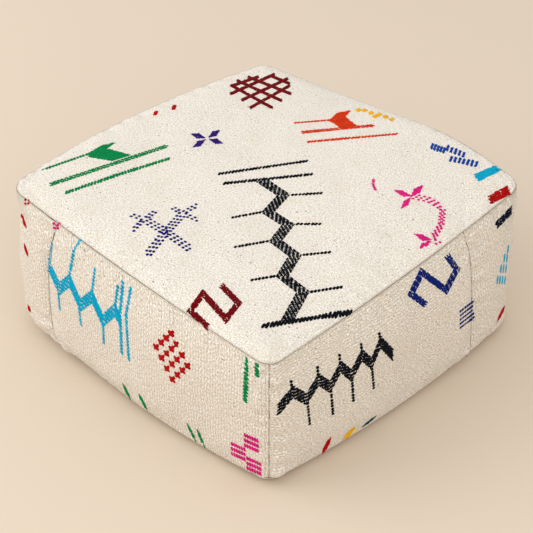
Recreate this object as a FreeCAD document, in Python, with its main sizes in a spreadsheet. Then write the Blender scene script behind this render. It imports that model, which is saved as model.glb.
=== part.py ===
# Square floor pouf: a flat-woven cover of sewn panels over a calico liner, fibre wadding and
# a foam block, closed by a zip that runs in a dent under the base.
# Millimetres, +Z up, origin on the floor below the middle. The photographed corner points to +X -Y.
import FreeCAD, Part
import Sketcher
import math
import os

from FreeCAD import Placement, Rotation, Vector

doc = FreeCAD.newDocument("square_pouf")

# Driving sizes. A value that starts with "=" follows from the others.
SIZES = [
    ("height", 240, "floor to the crown of the top"),
    ("half_seam", 285, "middle to the top seam, at the corners"),
    ("seam_bow", 5, "how far the top seam bows out at mid side"),
    ("drawn_in", 8, "how far the sides stand out from the drawn-in top seam"),
    ("side_bow", 14, "how far the stuffed sides bow out at mid side"),
    ("crown_radius", 3500, "radius of the crowned top"),
    ("sewn_corner_radius", 22, "corners with a seam in them, front and back"),
    ("wrapped_corner_radius", 90, "corners a side panel is wrapped round"),
    ("tuck_radius", 20, "rounding of the sides into the base"),
    ("cover_thickness", 3, "flat-woven cover"),
    ("base_thickness", 2, "canvas base"),
    ("liner_thickness", 0.8, "calico liner"),
    ("layer_gap", 0.4, "clearance between soft layers"),
    ("seam_gap", 0.6, "open width of a seam"),
    ("seam_inset", 1, "how far a seamed edge is drawn below the surface"),
    ("seam_roll", 2.2, "rounding of the cover where it turns into a seam"),
    ("allowance_depth", 14, "seam allowance turned down inside the top"),
    ("base_seam_height", 7, "sides meet the base"),
    ("left_seam_x", -162, "seam on the front side"),
    ("right_seam_y", 131, "seam on the right side"),
    ("core_half", 262, "foam block, middle to side"),
    ("core_bottom", 24, "underside of the foam block"),
    ("core_height", 172, "foam block"),
    ("core_corner_radius", 30, "upright edges of the foam block"),
    ("dent_half_length", 254, "dent in the base, at the floor"),
    ("dent_half_width", 34, "dent in the base, at the floor"),
    ("dent_slope", 14, "how far the walls of the dent lean in"),
    ("dent_depth", 11, "dent in the base"),
    ("slot_half_length", 221, "opening in the base for the zip"),
    ("slot_half_width", 7, "opening in the base for the zip"),
    ("tape_thickness", 0.8, "zip tape"),
    ("tape_half_length", 227, "zip tape"),
    ("tape_width", 12.8, "zip tape"),
    ("tape_edge", 2.2, "zip middle line to the beaded edge of each tape"),
    ("tooth_pitch", 5, "zip"),
    ("tooth_count", 84, "teeth in the front row"),
    ("tooth_thickness", 2.8, "zip tooth"),
    ("tooth_tip", 0.9, "zip middle line to the tip of a tooth"),
    ("tooth_neck", 2.0, "zip middle line to the back of a tooth's head"),
    ("tooth_heel", 4.2, "zip middle line to the heel of a tooth"),
    ("tooth_head_half", 1.7, "half the length of a tooth's head"),
    ("tooth_leg_half", 1.2, "half the length of a tooth's leg"),
    ("tooth_slot_depth", 2.1, "groove in a tooth that grips the tape"),
    ("tape_clearance", 0.05, "tape in the groove of a tooth, each face"),
    ("stop_length", 3.4, "zip stops"),
    ("top_stop_x", 214, "near end of the top stops"),
    ("bottom_stop_x", -218, "far end of the bottom stop"),
    ("stop_play", 0.6, "slider to the stop at each end of its travel"),
    ("slider_half_length", 8, "slider"),
    ("slider_nose_half", 5.7, "half the width of the slider at its nose"),
    ("slider_tail_half", 5.1, "half the width of the slider at its tail"),
    ("slider_plate", 1.4, "thickness of each slider plate"),
    ("slider_play", 0.4, "slider plates to the teeth"),
    ("slider_channel", 4.6, "zip middle line to the channel wall"),
    ("slider_slot", 1.2, "height of the slot the tape runs in"),
    ("post_half", 0.5, "half the width of the post between the plates"),
    ("post_back", 1, "back of the post, from the slider's middle"),
    ("bridge_half_length", 5, "bridge that holds the pull"),
    ("bridge_half_width", 1.2, "bridge that holds the pull"),
    ("bridge_drop", 5, "slider face to the outside of the bridge"),
    ("bridge_shoulder", 1.4, "how far the ends of the bridge lean in"),
    ("eye_half_length", 2.6, "opening in the bridge"),
    ("eye_half_height", 1.4, "opening in the bridge"),
    ("eye_margin", 0.7, "slider face to the opening in the bridge"),
    ("pin_radius", 0.9, "round bar of the pull that turns in the bridge"),
    ("pull_length", 32, "pull"),
    ("pull_half_width", 4.5, "pull"),
    ("pull_thickness", 1.6, "pull"),
    ("pull_window_length", 7.5, "window in the pull that clears the bridge"),
    ("pull_window_half", 1.9, "window in the pull that clears the bridge"),
    ("pull_end_radius", 3.5, "rounded end of the pull"),
    ("pull_hole_radius", 2, "hole near the end of the pull"),
    ("pull_hole_x", 26, "hole near the end of the pull"),
    ("tape_level", "=dent_depth + base_thickness", "underside of the zip tape"),
    ("chain_level", "=tape_level + tape_thickness / 2", "middle of the zip chain"),
    ("tooth_half", "=tooth_thickness / 2", ""),
    ("groove_half", "=tape_thickness / 2 + tape_clearance", ""),
    ("groove_end", "=tooth_heel - tooth_slot_depth", ""),
    ("row_start", "=-(tooth_count - 1) * tooth_pitch / 2", "first tooth of the front row"),
    ("back_row_start", "=row_start + tooth_pitch / 2", "first tooth of the back row"),
    ("channel_half", "=tooth_half + slider_play", ""),
    ("slider_half_height", "=channel_half + slider_plate", ""),
    ("slot_half", "=slider_slot / 2", ""),
    ("slot_reach", "=slider_nose_half + 1", "slot runs out through the slider's sides"),
    ("slider_reach", "=slider_half_length + 1", "cuts run out past the slider's ends"),
    ("bridge_bottom", "=slider_half_height + bridge_drop", ""),
    ("bridge_foot", "=bridge_half_length - bridge_shoulder", ""),
    ("eye_middle", "=slider_half_height + eye_margin + eye_half_height", "pull turns about this"),
    ("eye_top", "=eye_middle - eye_half_height", ""),
    ("eye_bottom", "=eye_middle + eye_half_height", ""),
    ("pull_level", "=chain_level - eye_middle", "height of the pull's bar"),
    ("liner_dent", "=chain_level + slider_half_height + 2 * layer_gap", "liner clears the slider"),
    ("stop_half", "=stop_length / 2", ""),
    ("top_stop_middle", "=top_stop_x + stop_half", ""),
    ("bottom_stop_middle", "=bottom_stop_x + stop_half", ""),
    ("slider_x", "=top_stop_x - stop_play - slider_half_length", "slider with the zip closed"),
    ("core_width", "=2 * core_half", ""),
]

sheet = doc.addObject("Spreadsheet::Sheet", "sizes")
for row, (alias, value, note) in enumerate(SIZES, start=1):
    sheet.set(f"A{row}", note)
    sheet.set(f"B{row}", str(value))
    sheet.setAlias(f"B{row}", alias)
doc.recompute()
S = {alias: float(sheet.get(alias)) for alias, value, note in SIZES}

# Corners in order round the pouf, with the rounding each one has.
CORNERS = [
    (1, -1, "sewn_corner_radius"),
    (1, 1, "wrapped_corner_radius"),
    (-1, 1, "sewn_corner_radius"),
    (-1, -1, "wrapped_corner_radius"),
]
FAR = 2 * S["half_seam"]
SEAM_HEIGHT = S["height"] - S["half_seam"] ** 2 / (2 * S["crown_radius"])
MIN_RADIUS = 4
# Heights of the sections, as shares of the tuck at the base and of the seam's height.
TUCK_LEVELS = (0, 0.12, 0.42, 1)
SIDE_LEVELS = (0.5, 0.8, 1)
# The sides keep their fullness until just below the seam, then roll in to it.
ROLL_POWER = 6


def arc(first, middle, last):
    """Arc through three points."""
    return Part.Arc(first, middle, last).toShape()


def outline(z, reach, bow, less):
    """Closed wire at height z: a square with rounded corners and sides that bow out."""
    arcs = []
    for index, (side_x, side_y, radius_name) in enumerate(CORNERS):
        radius = max(S[radius_name] - less, MIN_RADIUS)
        turn = math.pi / 2 * (index - 1)
        centre = Vector(side_x * (reach - radius), side_y * (reach - radius), z)
        arcs.append([
            centre + radius * Vector(math.cos(turn + step), math.sin(turn + step), 0)
            for step in (0, math.pi / 4, math.pi / 2)
        ])
    edges = []
    for index, corner in enumerate(arcs):
        following = arcs[(index + 1) % len(arcs)]
        turn = math.pi / 2 * index
        bulge = (corner[-1] + following[0]) * 0.5 + bow * Vector(math.cos(turn), math.sin(turn), 0)
        edges.append(arc(*corner))
        edges.append(arc(corner[-1], bulge, following[0]))
    return Part.Wire(edges)


def stuffed_form(depth, foot):
    """Solid inside the stuffed sides, at a depth below the surface, from the foot up past the crown."""
    tuck = max(S["tuck_radius"] - depth, MIN_RADIUS)
    levels = [foot + tuck * share for share in TUCK_LEVELS]
    levels += [SEAM_HEIGHT * share for share in SIDE_LEVELS]
    levels.append(S["height"] + S["allowance_depth"])
    wires = []
    for z in levels:
        fullness = 1 - min(z / SEAM_HEIGHT, 1) ** ROLL_POWER
        low = max(foot + tuck - z, 0)
        inset = tuck - math.sqrt(max(tuck ** 2 - low ** 2, 0))
        reach = S["half_seam"] + S["drawn_in"] * fullness - depth - inset
        bow = S["seam_bow"] + (S["side_bow"] - S["seam_bow"]) * fullness
        wires.append(outline(z, reach, bow, depth))
    return Part.makeLoft(wires, True, True)


def under_crown(depth):
    """Ball whose top is the crown of the pouf, at a depth below it."""
    ball = Part.makeSphere(S["crown_radius"] - depth)
    ball.Placement = Placement(
        Vector(0, 0, S["height"] - S["crown_radius"]), Rotation(Vector(0, 1, 0), 90))
    return ball


def layer(low, high):
    """Slab of space between two heights, wider than the pouf."""
    return Part.makeBox(2 * FAR, 2 * FAR, high - low, Vector(-FAR, -FAR, low))


def dent(level, spread):
    """Sloping-sided space that the zip's dent takes up, from below the floor to a level."""
    wires = []
    for z, lean in ((0, 0), (level, S["dent_slope"])):
        half_x = S["dent_half_length"] + spread - lean
        half_y = S["dent_half_width"] + spread - lean
        corners = [(-half_x, -half_y), (half_x, -half_y), (half_x, half_y), (-half_x, half_y)]
        points = [Vector(x, y, z) for x, y in corners]
        wires.append(Part.makePolygon(points + points[:1]))
    return Part.makeLoft(wires, True, True)


def soft(name, shape):
    """Document object for a soft piece."""
    piece = doc.addObject("Part::Feature", name)
    piece.Label = name
    piece.Shape = shape.removeSplitter()
    return piece


pieces = []
cover = S["cover_thickness"]
gap = S["layer_gap"]
liner = S["liner_thickness"]

# Top panel: a crowned sheet whose seam allowance is turned down inside the sides.
sheet_top = stuffed_form(S["seam_inset"], 0).common(under_crown(0))
crown = max(sheet_top.Faces, key=lambda face: face.CenterOfMass.z)
sheet_top = sheet_top.makeFillet(S["seam_roll"], crown.Edges).cut(under_crown(cover))
inside_sides = stuffed_form(cover + gap, 0)
allowance = inside_sides.cut(stuffed_form(2 * cover + gap, 0))
allowance = allowance.common(under_crown(cover / 2)).cut(under_crown(cover + S["allowance_depth"]))
pieces.append(soft("top_panel", sheet_top.fuse(allowance)))

# Side panels: one woven band, open at four upright seams.
band = stuffed_form(0, 0).cut(stuffed_form(cover, 0))
band = band.common(under_crown(cover + S["seam_gap"]))
band = band.common(layer(S["base_seam_height"] + S["seam_gap"], S["height"]))
half_gap = S["seam_gap"] / 2
corner_seams = Part.makeBox(4 * FAR, S["seam_gap"], S["height"], Vector(-2 * FAR, -half_gap, 0))
corner_seams.rotate(Vector(0, 0, 0), Vector(0, 0, 1), -45)
left_seam = Part.makeBox(
    S["seam_gap"], FAR, S["height"], Vector(S["left_seam_x"] - half_gap, -FAR, 0))
right_seam = Part.makeBox(
    FAR, S["seam_gap"], S["height"], Vector(0, S["right_seam_y"] - half_gap, 0))
band = band.cut(corner_seams).cut(left_seam).cut(right_seam)
side_names = {
    "front_side_panel": Vector(0, -1, 0),
    "right_side_panel": Vector(1, 0, 0),
    "left_side_panel": Vector(-1, 0, 0),
    "back_side_panel": Vector(0, 1, 0),
}
for name, facing in side_names.items():
    pieces.append(soft(name, max(band.Solids, key=lambda solid: solid.CenterOfMass.dot(facing))))

# Base: canvas in two halves, raised into a dent along the zip.
base = stuffed_form(S["seam_inset"], 0).common(layer(0, S["base_seam_height"]))
base = base.cut(stuffed_form(cover, S["base_thickness"]))
base = base.fuse(dent(S["tape_level"], S["base_thickness"])).cut(dent(S["dent_depth"], 0))
slot = Part.makeBox(
    2 * S["slot_half_length"], 2 * S["slot_half_width"], S["height"],
    Vector(-S["slot_half_length"], -S["slot_half_width"], 0))
middle_seam = Part.makeBox(2 * FAR, S["seam_gap"], S["height"], Vector(-FAR, -half_gap, 0))
base = base.cut(slot).cut(middle_seam)
for name, facing in (("base_front", Vector(0, -1, 0)), ("base_back", Vector(0, 1, 0))):
    pieces.append(soft(name, max(base.Solids, key=lambda solid: solid.CenterOfMass.dot(facing))))

# Liner: a calico bag sewn from a top, a band and a base that bends over the zip's dent.
liner_depth = 2 * cover + 2 * gap
liner_foot = S["base_thickness"] + gap
liner_outside = stuffed_form(liner_depth, liner_foot)
liner_inside = stuffed_form(liner_depth + liner, liner_foot)
liner_floor = liner_foot + liner
liner_top = liner_outside.common(under_crown(cover + gap)).cut(under_crown(cover + gap + liner))
pieces.append(soft("liner_top", liner_top))
liner_band = liner_outside.cut(liner_inside).common(under_crown(cover + 2 * gap + liner))
liner_band = liner_band.common(layer(liner_floor + gap, S["height"]))
pieces.append(soft("liner_band", liner_band))
liner_base = liner_outside.common(layer(liner_foot, liner_floor))
liner_base = liner_base.fuse(dent(S["liner_dent"] + liner, S["base_thickness"] + 2 * liner + gap))
liner_base = liner_base.cut(dent(S["liner_dent"], S["base_thickness"] + liner + gap))
liner_base = liner_base.common(layer(liner_foot, S["height"]))
pieces.append(soft("liner_base", liner_base))

# Wadding: loose fibre batts between the liner and the foam block.
wadding_depth = liner_depth + liner + gap
wadding_form = stuffed_form(wadding_depth, liner_floor + gap)
wadding_dent = dent(S["liner_dent"] + liner + gap, S["base_thickness"] + 2 * liner + 2 * gap)
core_top = S["core_bottom"] + S["core_height"]
crown_space = under_crown(cover + 2 * gap + liner)
block = Part.makeBox(
    S["core_width"], S["core_width"], S["core_height"],
    Vector(-S["core_half"], -S["core_half"], S["core_bottom"]))
upright = [edge for edge in block.Edges if edge.BoundBox.ZLength > S["core_height"] / 2]
block = block.makeFillet(S["core_corner_radius"], upright)
wadding_top = wadding_form.common(crown_space).common(layer(core_top, S["height"]))
pieces.append(soft("wadding_top", wadding_top))
wadding_band = wadding_form.common(layer(S["core_bottom"], core_top)).cut(block)
pieces.append(soft("wadding_band", wadding_band))
wadding_base = wadding_form.common(layer(0, S["core_bottom"])).cut(wadding_dent)
pieces.append(soft("wadding_base", wadding_base))


def bind(item, **bindings):
    """Tie properties of a document object to the sheet; double underscores stand for dots."""
    for path, expression in bindings.items():
        item.setExpression(path.replace("__", "."), expression)


def new_body(name, **place):
    """Empty body, placed by expressions for x, y or z."""
    body = doc.addObject("PartDesign::Body", name)
    body.Label = name
    for axis, expression in place.items():
        body.setExpression(f"Placement.Base.{axis}", expression)
    pieces.append(body)
    return body


def new_sketch(body, name, plane):
    """Sketch on one of the body's own origin planes."""
    sketch = body.newObject("Sketcher::SketchObject", name)
    role = f"{plane}_Plane"
    support = next(item for item in body.Origin.OriginFeatures if item.Role == role)
    sketch.AttachmentSupport = [(support, "")]
    sketch.MapMode = "FlatFace"
    return sketch


def value_of(term):
    """Signed sheet value; a term is an alias, with a minus sign in front if it is negative, or 0."""
    if term == "0":
        return 0.0
    return -S[term[1:]] if term.startswith("-") else S[term]


def formula_of(term):
    """The same term as an expression on the sheet."""
    if term == "0":
        return "0"
    return f"-sizes.{term[1:]}" if term.startswith("-") else f"sizes.{term}"


def add_polygon(sketch, corners):
    """Closed polygon whose corners are tied to the sheet."""
    first = sketch.GeometryCount
    points = [Vector(value_of(x), value_of(y), 0) for x, y in corners]
    count = len(points)
    for index in range(count):
        sketch.addGeometry(Part.LineSegment(points[index], points[(index + 1) % count]), False)
    for index in range(count):
        ahead = first + (index + 1) % count
        sketch.addConstraint(Sketcher.Constraint("Coincident", first + index, 2, ahead, 1))
    for index, (x, y) in enumerate(corners):
        for kind, term in (("DistanceX", x), ("DistanceY", y)):
            line = first + index
            number = sketch.addConstraint(
                Sketcher.Constraint(kind, -1, 1, line, 1, value_of(term)))
            sketch.setExpression(f"Constraints[{number}]", formula_of(term))


def add_circle(sketch, x, y, radius):
    """Circle whose middle and radius are tied to the sheet."""
    middle = Vector(value_of(x), value_of(y), 0)
    circle = sketch.addGeometry(Part.Circle(middle, Vector(0, 0, 1), value_of(radius)), False)
    for kind, term in (("DistanceX", x), ("DistanceY", y)):
        number = sketch.addConstraint(Sketcher.Constraint(kind, -1, 1, circle, 3, value_of(term)))
        sketch.setExpression(f"Constraints[{number}]", formula_of(term))
    number = sketch.addConstraint(Sketcher.Constraint("Radius", circle, value_of(radius)))
    sketch.setExpression(f"Constraints[{number}]", formula_of(radius))


def rectangle(low_x, low_y, high_x, high_y):
    """Corners of a rectangle, as terms."""
    return [(low_x, low_y), (high_x, low_y), (high_x, high_y), (low_x, high_y)]


def pad(body, sketch, name, length):
    """Pad on both sides of the sketch."""
    feature = body.newObject("PartDesign::Pad", name)
    feature.Profile = sketch
    feature.Midplane = True
    feature.setExpression("Length", length)
    sketch.Visibility = False
    return feature


def pocket_through(body, sketch, name):
    """Pocket through everything on both sides of the sketch."""
    feature = body.newObject("PartDesign::Pocket", name)
    feature.Profile = sketch
    feature.Midplane = True
    feature.Type = 1
    sketch.Visibility = False
    return feature


# Foam block.
core = new_body("foam_core", z="sizes.core_bottom + sizes.core_height / 2")
core_sketch = new_sketch(core, "core_outline", "XY")
add_polygon(core_sketch, rectangle("-core_half", "-core_half", "core_half", "core_half"))
core_pad = pad(core, core_sketch, "core_pad", "sizes.core_height")
doc.recompute()
core_edges = [
    f"Edge{number}" for number, edge in enumerate(core_pad.Shape.Edges, start=1)
    if edge.BoundBox.ZLength > S["core_height"] / 2
]
core_round = core.newObject("PartDesign::Fillet", "core_corners")
core_round.Base = (core_pad, core_edges)
bind(core_round, Radius="sizes.core_corner_radius")

# Zip tapes, lying on the raised edges of the base.
TAPE_SIDES = {
    "zip_tape_front": "-sizes.tape_edge - sizes.tape_width",
    "zip_tape_back": "sizes.tape_edge",
}
for name, y in TAPE_SIDES.items():
    tape = doc.addObject("Part::Box", name)
    tape.Label = name
    bind(
        tape,
        Length="2 * sizes.tape_half_length",
        Width="sizes.tape_width",
        Height="sizes.tape_thickness",
        Placement__Base__x="-sizes.tape_half_length",
        Placement__Base__y=y,
        Placement__Base__z="sizes.tape_level",
    )
    pieces.append(tape)


def tooth_row(name, side, start, count):
    """One row of moulded teeth, each with a groove that grips the edge of its tape."""
    half = S["tooth_half"]
    outline_points = [
        Vector(x, side * S[y], -half) for x, y in (
            (-S["tooth_leg_half"], "tooth_heel"),
            (S["tooth_leg_half"], "tooth_heel"),
            (S["tooth_head_half"], "tooth_neck"),
            (S["tooth_leg_half"], "tooth_tip"),
            (-S["tooth_leg_half"], "tooth_tip"),
            (-S["tooth_head_half"], "tooth_neck"),
        )
    ]
    face = Part.Face(Part.makePolygon(outline_points + outline_points[:1]))
    groove_low = min(side * S["groove_end"], side * S["slot_half_width"])
    groove = Part.makeBox(
        S["tooth_pitch"], S["slot_half_width"] - S["groove_end"], 2 * S["groove_half"],
        Vector(-S["tooth_pitch"] / 2, groove_low, -S["groove_half"]))
    tooth = face.extrude(Vector(0, 0, S["tooth_thickness"])).cut(groove)
    row = doc.addObject("Part::Feature", name)
    row.Label = name
    row.Shape = Part.makeCompound([
        tooth.translated(Vector(index * S["tooth_pitch"], 0, 0)) for index in range(count)
    ])
    row.Placement = Placement(Vector(S[start], 0, S["chain_level"]), Rotation())
    pieces.append(row)


tooth_row("zip_teeth_front", -1, "row_start", round(S["tooth_count"]))
tooth_row("zip_teeth_back", 1, "back_row_start", round(S["tooth_count"]) - 1)


def grip_groove(body, name, sides):
    """Groove that lets the tape into a stop, on each side given."""
    groove = new_sketch(body, name, "YZ")
    for side in sides:
        far = f"{side}slot_half_width"
        add_polygon(groove, rectangle(f"{side}groove_end", "-groove_half", far, "groove_half"))
    return pocket_through(body, groove, f"{name}_cut")


# Stops: a pair where the zip closes, one across both tapes where it opens.
top_stops = new_body("zip_top_stops", x="sizes.top_stop_middle", z="sizes.chain_level")
top_stops.AllowCompound = True
stop_pair = new_sketch(top_stops, "top_stop_outline", "XY")
for sign in ("-", ""):
    add_polygon(stop_pair, rectangle("-stop_half", f"{sign}tooth_tip", "stop_half", f"{sign}tooth_heel"))
pad(top_stops, stop_pair, "top_stop_pad", "sizes.tooth_thickness")
grip_groove(top_stops, "top_stop_groove", ("-", ""))

bottom_stop = new_body("zip_bottom_stop", x="sizes.bottom_stop_middle", z="sizes.chain_level")
stop_bar = new_sketch(bottom_stop, "bottom_stop_outline", "XY")
add_polygon(stop_bar, rectangle("-stop_half", "-tooth_heel", "stop_half", "tooth_heel"))
pad(bottom_stop, stop_bar, "bottom_stop_pad", "sizes.tooth_thickness")
grip_groove(bottom_stop, "bottom_stop_groove", ("-", ""))

# Slider: two plates joined by a post that runs between the rows, with a bridge for the pull.
slider = new_body("zip_slider", x="sizes.slider_x", z="sizes.chain_level")
slider_outline = new_sketch(slider, "slider_outline", "XY")
add_polygon(slider_outline, [
    ("-slider_half_length", "-slider_tail_half"),
    ("0", "-slider_tail_half"),
    ("post_back", "-slider_nose_half"),
    ("slider_half_length", "-slider_nose_half"),
    ("slider_half_length", "slider_nose_half"),
    ("post_back", "slider_nose_half"),
    ("0", "slider_tail_half"),
    ("-slider_half_length", "slider_tail_half"),
])
pad(slider, slider_outline, "slider_block", "2 * sizes.slider_half_height")
channel = new_sketch(slider, "slider_channel_outline", "YZ")
for sign in ("-", ""):
    add_polygon(channel, [
        (f"{sign}post_half", "-channel_half"),
        (f"{sign}slider_channel", "-channel_half"),
        (f"{sign}slider_channel", "-slot_half"),
        (f"{sign}slot_reach", "-slot_half"),
        (f"{sign}slot_reach", "slot_half"),
        (f"{sign}slider_channel", "slot_half"),
        (f"{sign}slider_channel", "channel_half"),
        (f"{sign}post_half", "channel_half"),
    ])
pocket_through(slider, channel, "slider_channels")
throat = new_sketch(slider, "slider_throat_outline", "XZ")
add_polygon(throat, rectangle("-slider_reach", "-channel_half", "post_back", "channel_half"))
throat_cut = slider.newObject("PartDesign::Pocket", "slider_throat")
throat_cut.Profile = throat
throat_cut.Midplane = True
throat_cut.setExpression("Length", "2 * sizes.slider_channel")
bridge = new_sketch(slider, "bridge_outline", "XZ")
add_polygon(bridge, [
    ("-bridge_half_length", "-slider_half_height"),
    ("-bridge_half_length", "-eye_middle"),
    ("-bridge_foot", "-bridge_bottom"),
    ("bridge_foot", "-bridge_bottom"),
    ("bridge_half_length", "-eye_middle"),
    ("bridge_half_length", "-slider_half_height"),
])
add_polygon(bridge, rectangle("-eye_half_length", "-eye_bottom", "eye_half_length", "-eye_top"))
pad(slider, bridge, "slider_bridge", "2 * sizes.bridge_half_width")

# Pull: a round bar in the bridge's eye, two arms and a flat tongue that trails behind the slider.
pull = new_body("zip_pull", x="sizes.slider_x", z="sizes.pull_level")
bar = new_sketch(pull, "pull_bar_outline", "XZ")
add_circle(bar, "0", "0", "pin_radius")
pad(pull, bar, "pull_bar", "2 * sizes.pull_half_width")
tongue = new_sketch(pull, "pull_outline", "XY")
add_polygon(tongue, rectangle("-pull_length", "-pull_half_width", "0", "pull_half_width"))
add_polygon(
    tongue, rectangle("-pull_window_length", "-pull_window_half", "-pin_radius", "pull_window_half"))
add_circle(tongue, "-pull_hole_x", "0", "pull_hole_radius")
tongue_pad = pad(pull, tongue, "pull_tongue", "sizes.pull_thickness")
doc.recompute()
tip_edges = [
    f"Edge{number}" for number, edge in enumerate(tongue_pad.Shape.Edges, start=1)
    if edge.BoundBox.XMax < S["pull_end_radius"] - S["pull_length"]
    and edge.BoundBox.ZLength > S["pull_thickness"] / 2
]
pull_round = pull.newObject("PartDesign::Fillet", "pull_end")
pull_round.Base = (tongue_pad, tip_edges)
bind(pull_round, Radius="sizes.pull_end_radius")
doc.recompute()

os.makedirs("parts", exist_ok=True)
for item in doc.Objects:
    if "Invalid" in item.State or "Error" in item.State:
        raise RuntimeError(f"{item.Label} did not build: {item.State}")
for piece in pieces:
    if piece.Shape.isNull() or not piece.Shape.isValid() or not piece.Shape.Solids:
        raise RuntimeError(f"{piece.Label} is not a sound solid")
for piece in pieces:
    piece.Shape.exportStep(f"parts/{piece.Label}.step")
    box = piece.Shape.BoundBox
    low = [round(value, 1) for value in (box.XMin, box.YMin, box.ZMin)]
    high = [round(value, 1) for value in (box.XMax, box.YMax, box.ZMax)]
    print(piece.Label, "solids", len(piece.Shape.Solids), low, high)
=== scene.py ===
# Square floor pouf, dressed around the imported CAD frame: a flat-woven cover of sewn panels with
# raised yarn motifs, a canvas base with its zip, and the liner, wadding and foam inside.
# Metres, +Z up, same frame as the CAD. The photographed corner points to +X -Y.
import math

import bpy
import numpy as np
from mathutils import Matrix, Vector
from mathutils.bvhtree import BVHTree


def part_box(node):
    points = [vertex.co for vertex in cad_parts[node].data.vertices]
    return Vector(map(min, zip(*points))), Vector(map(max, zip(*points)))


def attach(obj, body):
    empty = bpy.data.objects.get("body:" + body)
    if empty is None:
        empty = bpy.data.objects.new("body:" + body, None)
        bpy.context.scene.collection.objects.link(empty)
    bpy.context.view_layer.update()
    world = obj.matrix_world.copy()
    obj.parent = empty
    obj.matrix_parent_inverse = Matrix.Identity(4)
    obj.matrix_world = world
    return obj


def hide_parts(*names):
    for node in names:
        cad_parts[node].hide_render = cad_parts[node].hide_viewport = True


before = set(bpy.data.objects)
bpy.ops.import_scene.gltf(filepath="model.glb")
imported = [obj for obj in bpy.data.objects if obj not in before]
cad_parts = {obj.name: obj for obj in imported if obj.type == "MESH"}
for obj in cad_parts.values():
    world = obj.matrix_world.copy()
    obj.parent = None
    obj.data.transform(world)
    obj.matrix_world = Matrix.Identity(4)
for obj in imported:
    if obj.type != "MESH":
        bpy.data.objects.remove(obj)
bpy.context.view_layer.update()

scene = bpy.context.scene

# Sizes of the stuffed form, as in the part's source.
HALF_SEAM = 0.285
SEAM_BOW = 0.005
DRAWN_IN = 0.008
SIDE_BOW = 0.014
SEWN_RADIUS = 0.022
BASE_SEAM = 0.007
ROLL_POWER = 6
SIDE_HEIGHT = 0.217
CORE_HALF = 0.262
CORE_BOTTOM = 0.024
CORE_TOP = 0.196
CORE_RADIUS = 0.030
DENT_HALF_LENGTH = 0.254
DENT_HALF_WIDTH = 0.034
DENT_SLOPE = 0.014
DENT_DEPTH = 0.011
SLOT_HALF_LENGTH = 0.221
SLOT_HALF_WIDTH = 0.007
LINER_DENT = 0.0176

# What fitting it to the photograph changes: corners, seams, heights and bows.
WRAPPED_RADIUS = 0.035
CORNER_EASE = 0.063
CORNER_DRAW = 0.010
LEFT_SEAM_X = -0.160
RIGHT_SEAM_Y = 0.141
FRONT_HEIGHT = 0.208
RIGHT_HEIGHT = 0.237
BACK_HEIGHT = 0.227
LEFT_HEIGHT = 0.245
LEFT_RISE = 0.005
BACK_RISE = 0.019
BACK_RISE_X = 0.13
BACK_RISE_SPREAD = 0.15
EDGE_SWELL = 0.007
EDGE_SWELL_LOSS = 0.7
EDGE_ROLL = 0.028
CROWN_SWELL = 0.005
CEILING = 0.2490
CEILING_SOFT = 0.0065
FAR_BOW = 0.011
FAR_PUSH = 0.004
TUCK = 0.024
LEFT_TUCK = 0.020
TUCK_SPREAD = 0.20
# Upright seams wander along their sides: by height, by its square, and where the sides roll in.
LEFT_SEAM_PATH = (-0.042, 0.052, 0.038)
RIGHT_SEAM_PATH = (-0.009, -0.010, -0.036)
STRAIGHT_SEAM = (0.0, 0.0, 0.0)

# Cloths, their seams and the cells of their grids.
COVER = 0.0019
CANVAS = 0.0014
CALICO = 0.0008
SIDE_CLOTH = 0.222
TOP_ROLL = 0.00035
UPRIGHT_ROLL = 0.0013
FOOT_ROLL = 0.0009
ROLL_STEPS = 7
SEAM_VALLEY = 0.0024
VALLEY_WIDTH = 0.0060
VALLEY_END = 0.012
SEAM_GAP = 0.0001
SEAM_DROP = 2.414 * TOP_ROLL
ALLOWANCE = 0.0025
TOP_FLAP = 0.009
FLAP_SHARES = (0.2, 0.6, 1.0)
CELL = 0.0033
SIDE_ROWS = int(round(SIDE_HEIGHT / CELL))
TOP_CELLS = 172
BASE_CELLS = 150
LINER_CELLS = 60

FULL_TURN = 2 * math.pi
QUARTER = math.pi / 2
CORNERS = (
    (1, -1, SEWN_RADIUS),
    (1, 1, WRAPPED_RADIUS),
    (-1, 1, SEWN_RADIUS),
    (-1, -1, WRAPPED_RADIUS),
)
PLACES = 8
FAR_SIDES = (1, 2)
TINY = 1e-12


def unit(vectors):
    """Vectors of length 1."""
    return vectors / np.maximum(np.linalg.norm(vectors, axis=-1, keepdims=True), TINY)


def smooth_step(share):
    """Eased step from 0 to 1."""
    share = np.clip(share, 0, 1)
    return share * share * (3 - 2 * share)


def lengths_along(points):
    """Length from the first point of a line to each of its points."""
    steps = np.linalg.norm(np.diff(points, axis=0), axis=1)
    return np.concatenate([[0], np.cumsum(steps)])


def sampled(values, arc, where):
    """Vectors at some lengths along a line."""
    return np.stack([np.interp(where, arc, values[:, axis]) for axis in range(3)], axis=1)


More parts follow.
